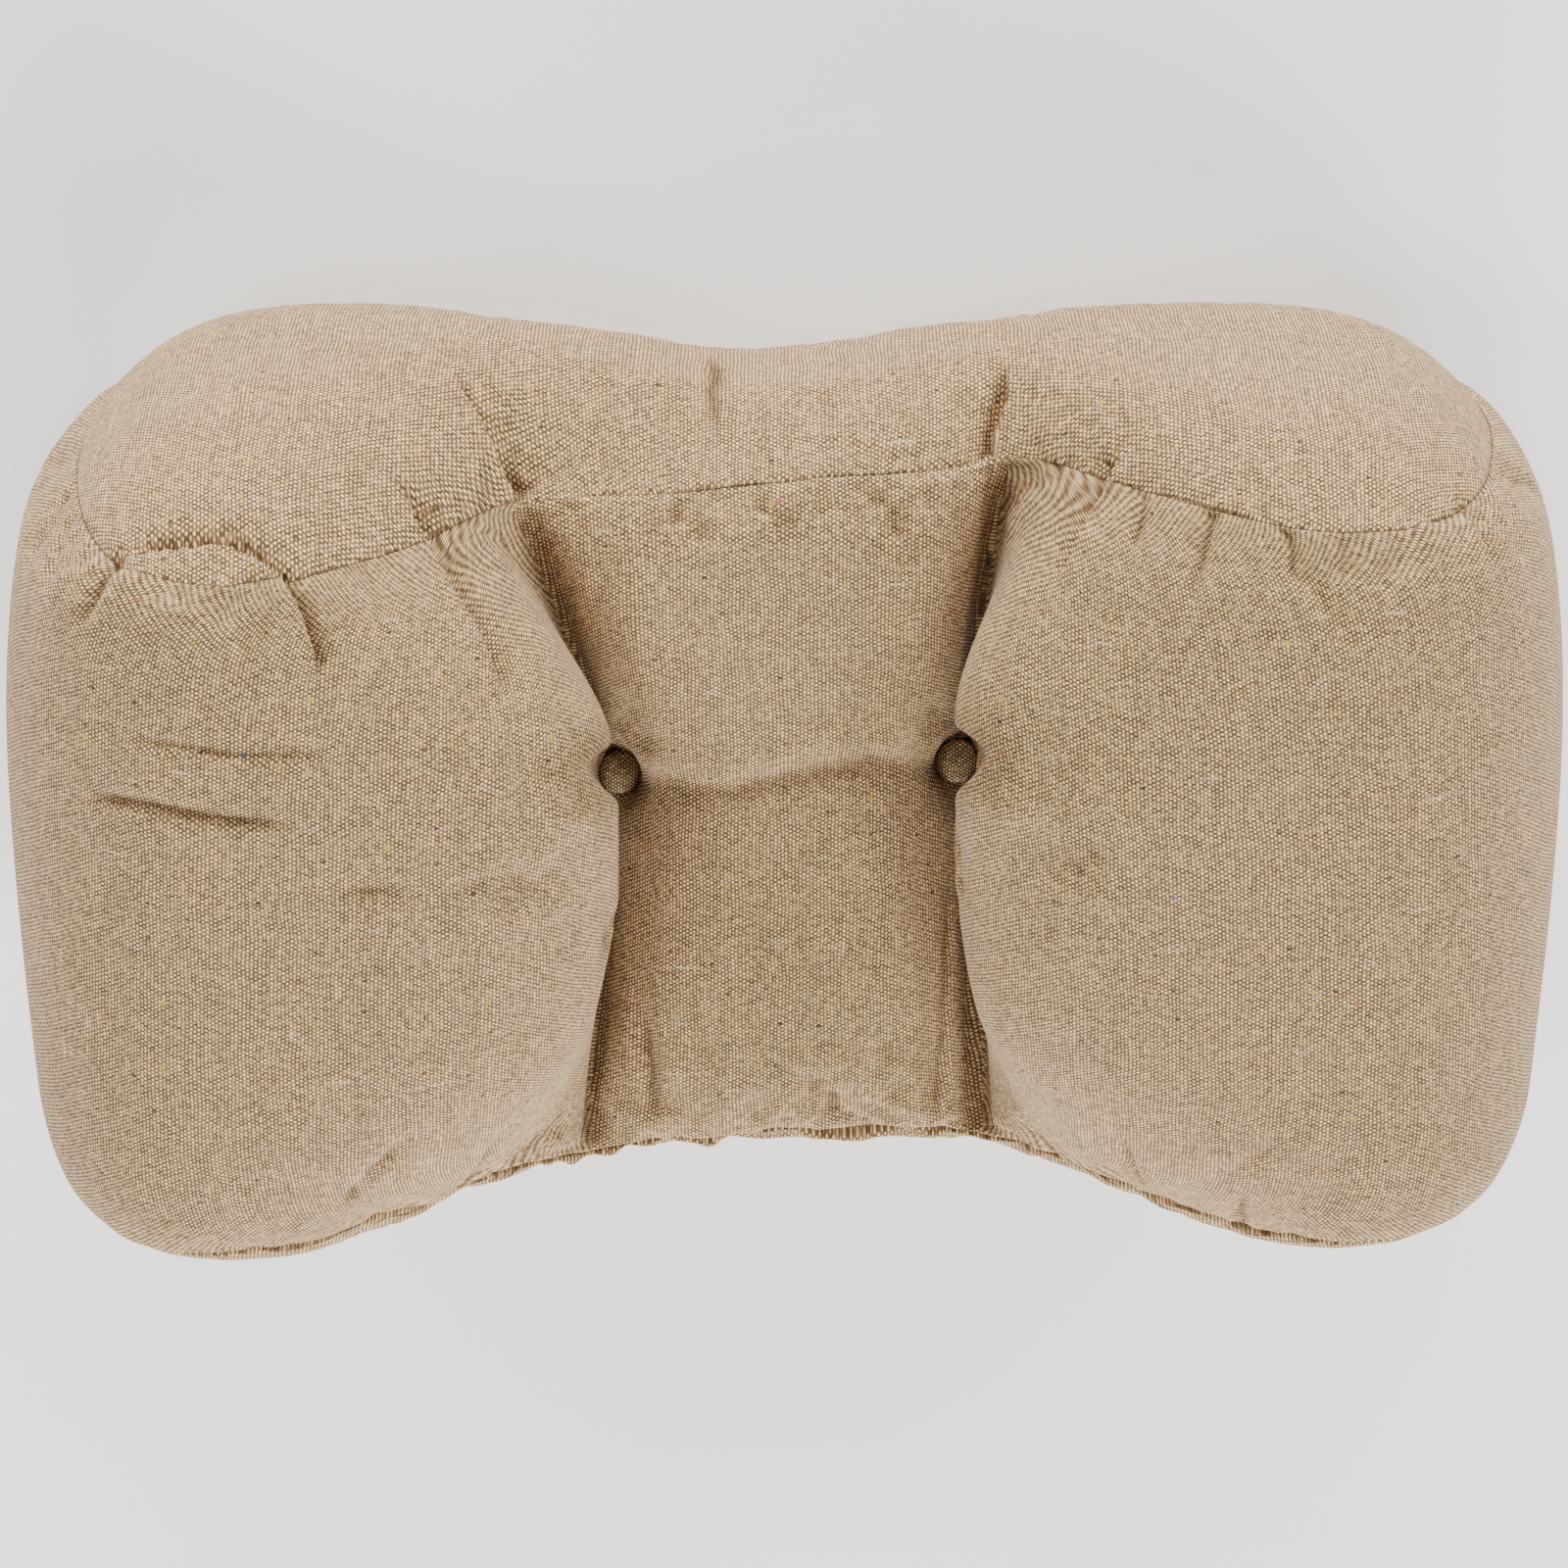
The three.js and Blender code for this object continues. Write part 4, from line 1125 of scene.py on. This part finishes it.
def makeButton(side, values):
    # dome: radius * sin(a) out and thickness * (0.3 + 0.7 cos a) up, closed by a flat back with a round edge;
    # the map is the flat plan of the button
    a = np.linspace(0, math.pi / 2, values["rings"])
    out = values["radius"] * np.concatenate([np.sin(a), values["backOut"]])
    up = values["thickness"] * np.concatenate([0.3 + 0.7 * np.cos(a), values["backUp"]])
    angle = np.linspace(0, 2 * math.pi, values["turns"], endpoint=False)
    x = out[:, None] * np.cos(angle)
    y = out[:, None] * np.sin(angle)
    z = np.repeat(up[:, None], values["turns"], 1)
    tilt = math.radians(values["tilt"])
    turned = [x, y * math.cos(tilt) + z * math.sin(tilt), z * math.cos(tilt) - y * math.sin(tilt)]
    index = np.arange(x.size).reshape(x.shape)
    index[0], index[-1] = index[0, 0], index[-1, 0]
    quads = quadsAround(index)
    plan = np.stack([x, y], -1).reshape(-1, 2)[quads] + mapPlaces["buttons"]
    points = np.stack(turned, -1) + values[side]
    return meshFromQuads(f"coveredButton{side.capitalize()}", points, quads, plan)


# The buttons' cloth is stretched thin; its colours and slub colour are darkened here to paint the shade of
# the wells the buttons sit in
buttonShade = 0.66
buttonCanvas = makeCanvas("buttonCanvas", {
    **canvasValues,
    "stops": tuple((at, (*(buttonShade * c for c in colour[:3]), 1.0)) for at, colour in canvasValues["stops"]),
    "slub": (0.35, 0.27, 0.17, 1.0),
    "warpPitch": 0.85,
    "weftPitch": 0.55,
})
for side in ("right", "left"):
    button = makeButton(side, buttonValues)
    button.data.materials.append(buttonCanvas)
    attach(button, "root")
    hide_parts(f"button_{side}")
print("buttons made")


# Thread tacks in the dimples of the back, where the buttons' threads are tied off
threadValues = {
    "height": 4.5,
    "half": 3.4,
    "radius": 0.45,
    "apart": 0.85,
    "slant": 0.25,
    "dip": 1.6,
    "colour": (0.62, 0.50, 0.34, 1.0),
    "roughness": 0.8,
}


def makeTack(side, seat, values):
    # three tubes side by side along X; each middle line rises into the cloth by dip * (x/half)^4
    along = np.linspace(-1, 1, 25)[None, :, None]
    turn = np.linspace(0, 2 * math.pi, 13)[None, None, :-1]
    strand = np.arange(-1, 2)[:, None, None]
    x = seat[0] + values["half"] * along + 0 * turn + 0 * strand
    y = seat[1] + strand * values["apart"] + values["radius"] * np.cos(turn) + values["slant"] * along
    z = values["height"] + values["dip"] * along**4 + values["radius"] * np.sin(turn) + 0 * strand
    index = np.arange(x.size).reshape(x.shape)
    around = np.roll(index, -1, 2)
    quads = np.stack([index[:, :-1], around[:, :-1], around[:, 1:], index[:, 1:]], -1).reshape(-1, 4)
    return meshFromQuads(f"threadTack{side.capitalize()}", np.stack([x, y, z], -1), quads)


thread = {"Base Color": threadValues["colour"], "Roughness": threadValues["roughness"]}
threadMaterial = newMaterial("thread", thread)[0]
for side in ("right", "left"):
    tack = makeTack(side, buttonValues[side], threadValues)
    tack.data.materials.append(threadMaterial)
    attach(tack, "root")
print("thread tacks made")


# Pale floor and soft studio light; lamps are (name, place, power)
studioValues = {
    "floorSize": 12.0,
    "floorColour": (0.95, 0.95, 0.95, 1.0),
    "floorRoughness": 0.9,
    "floorGlow": 0.35,
    "white": (1.0, 1.0, 1.0, 1.0),
    "room": 0.12,
    "lampSize": 1.2,
    "lampAim": (0.0, 0.0, 0.07),
    "lamps": (
        ("lowFront", (0.0, -3.1, 0.85), 172.0),
        ("behind", (0.0, 3.1, 0.85), 102.0),
        ("behindRight", (2.2, 2.2, 0.85), 80.0),
        ("behindLeft", (-2.2, 2.2, 0.85), 72.0),
        ("frontRight", (1.9, -1.9, 1.8), 60.0),
        ("leftAbove", (-1.7, 0.0, 2.8), 34.0),
        ("frontAbove", (0.6, -1.6, 2.8), 30.0),
    ),
}


def makeStudio(values):
    # a square floor that glows a little, a white room, and square lamps turned to one aim
    half = values["floorSize"] / 2
    mesh = bpy.data.meshes.new("floor")
    corners = [(-half, -half, 0), (half, -half, 0), (half, half, 0), (-half, half, 0)]
    mesh.from_pydata(corners, [], [(0, 1, 2, 3)])
    floor = addObject("floor", mesh)
    mesh.materials.append(newMaterial("paleFloor", {
        "Base Color": values["floorColour"],
        "Roughness": values["floorRoughness"],
        "Emission Color": values["white"],
        "Emission Strength": values["floorGlow"],
    })[0])
    world = bpy.data.worlds.new("softRoom")
    bpy.context.scene.world = world
    world.use_nodes = True
    background = world.node_tree.nodes["Background"]
    background.inputs["Color"].default_value = values["white"]
    background.inputs["Strength"].default_value = values["room"]
    for name, place, power in values["lamps"]:
        data = bpy.data.lights.new(name, "AREA")
        data.size = values["lampSize"]
        data.energy = power
        lamp = addObject(name, data)
        lamp.location = place
        towards = Vector(values["lampAim"]) - Vector(place)
        lamp.rotation_euler = towards.to_track_quat("-Z", "Y").to_euler()


makeStudio(studioValues)
print("studio made")
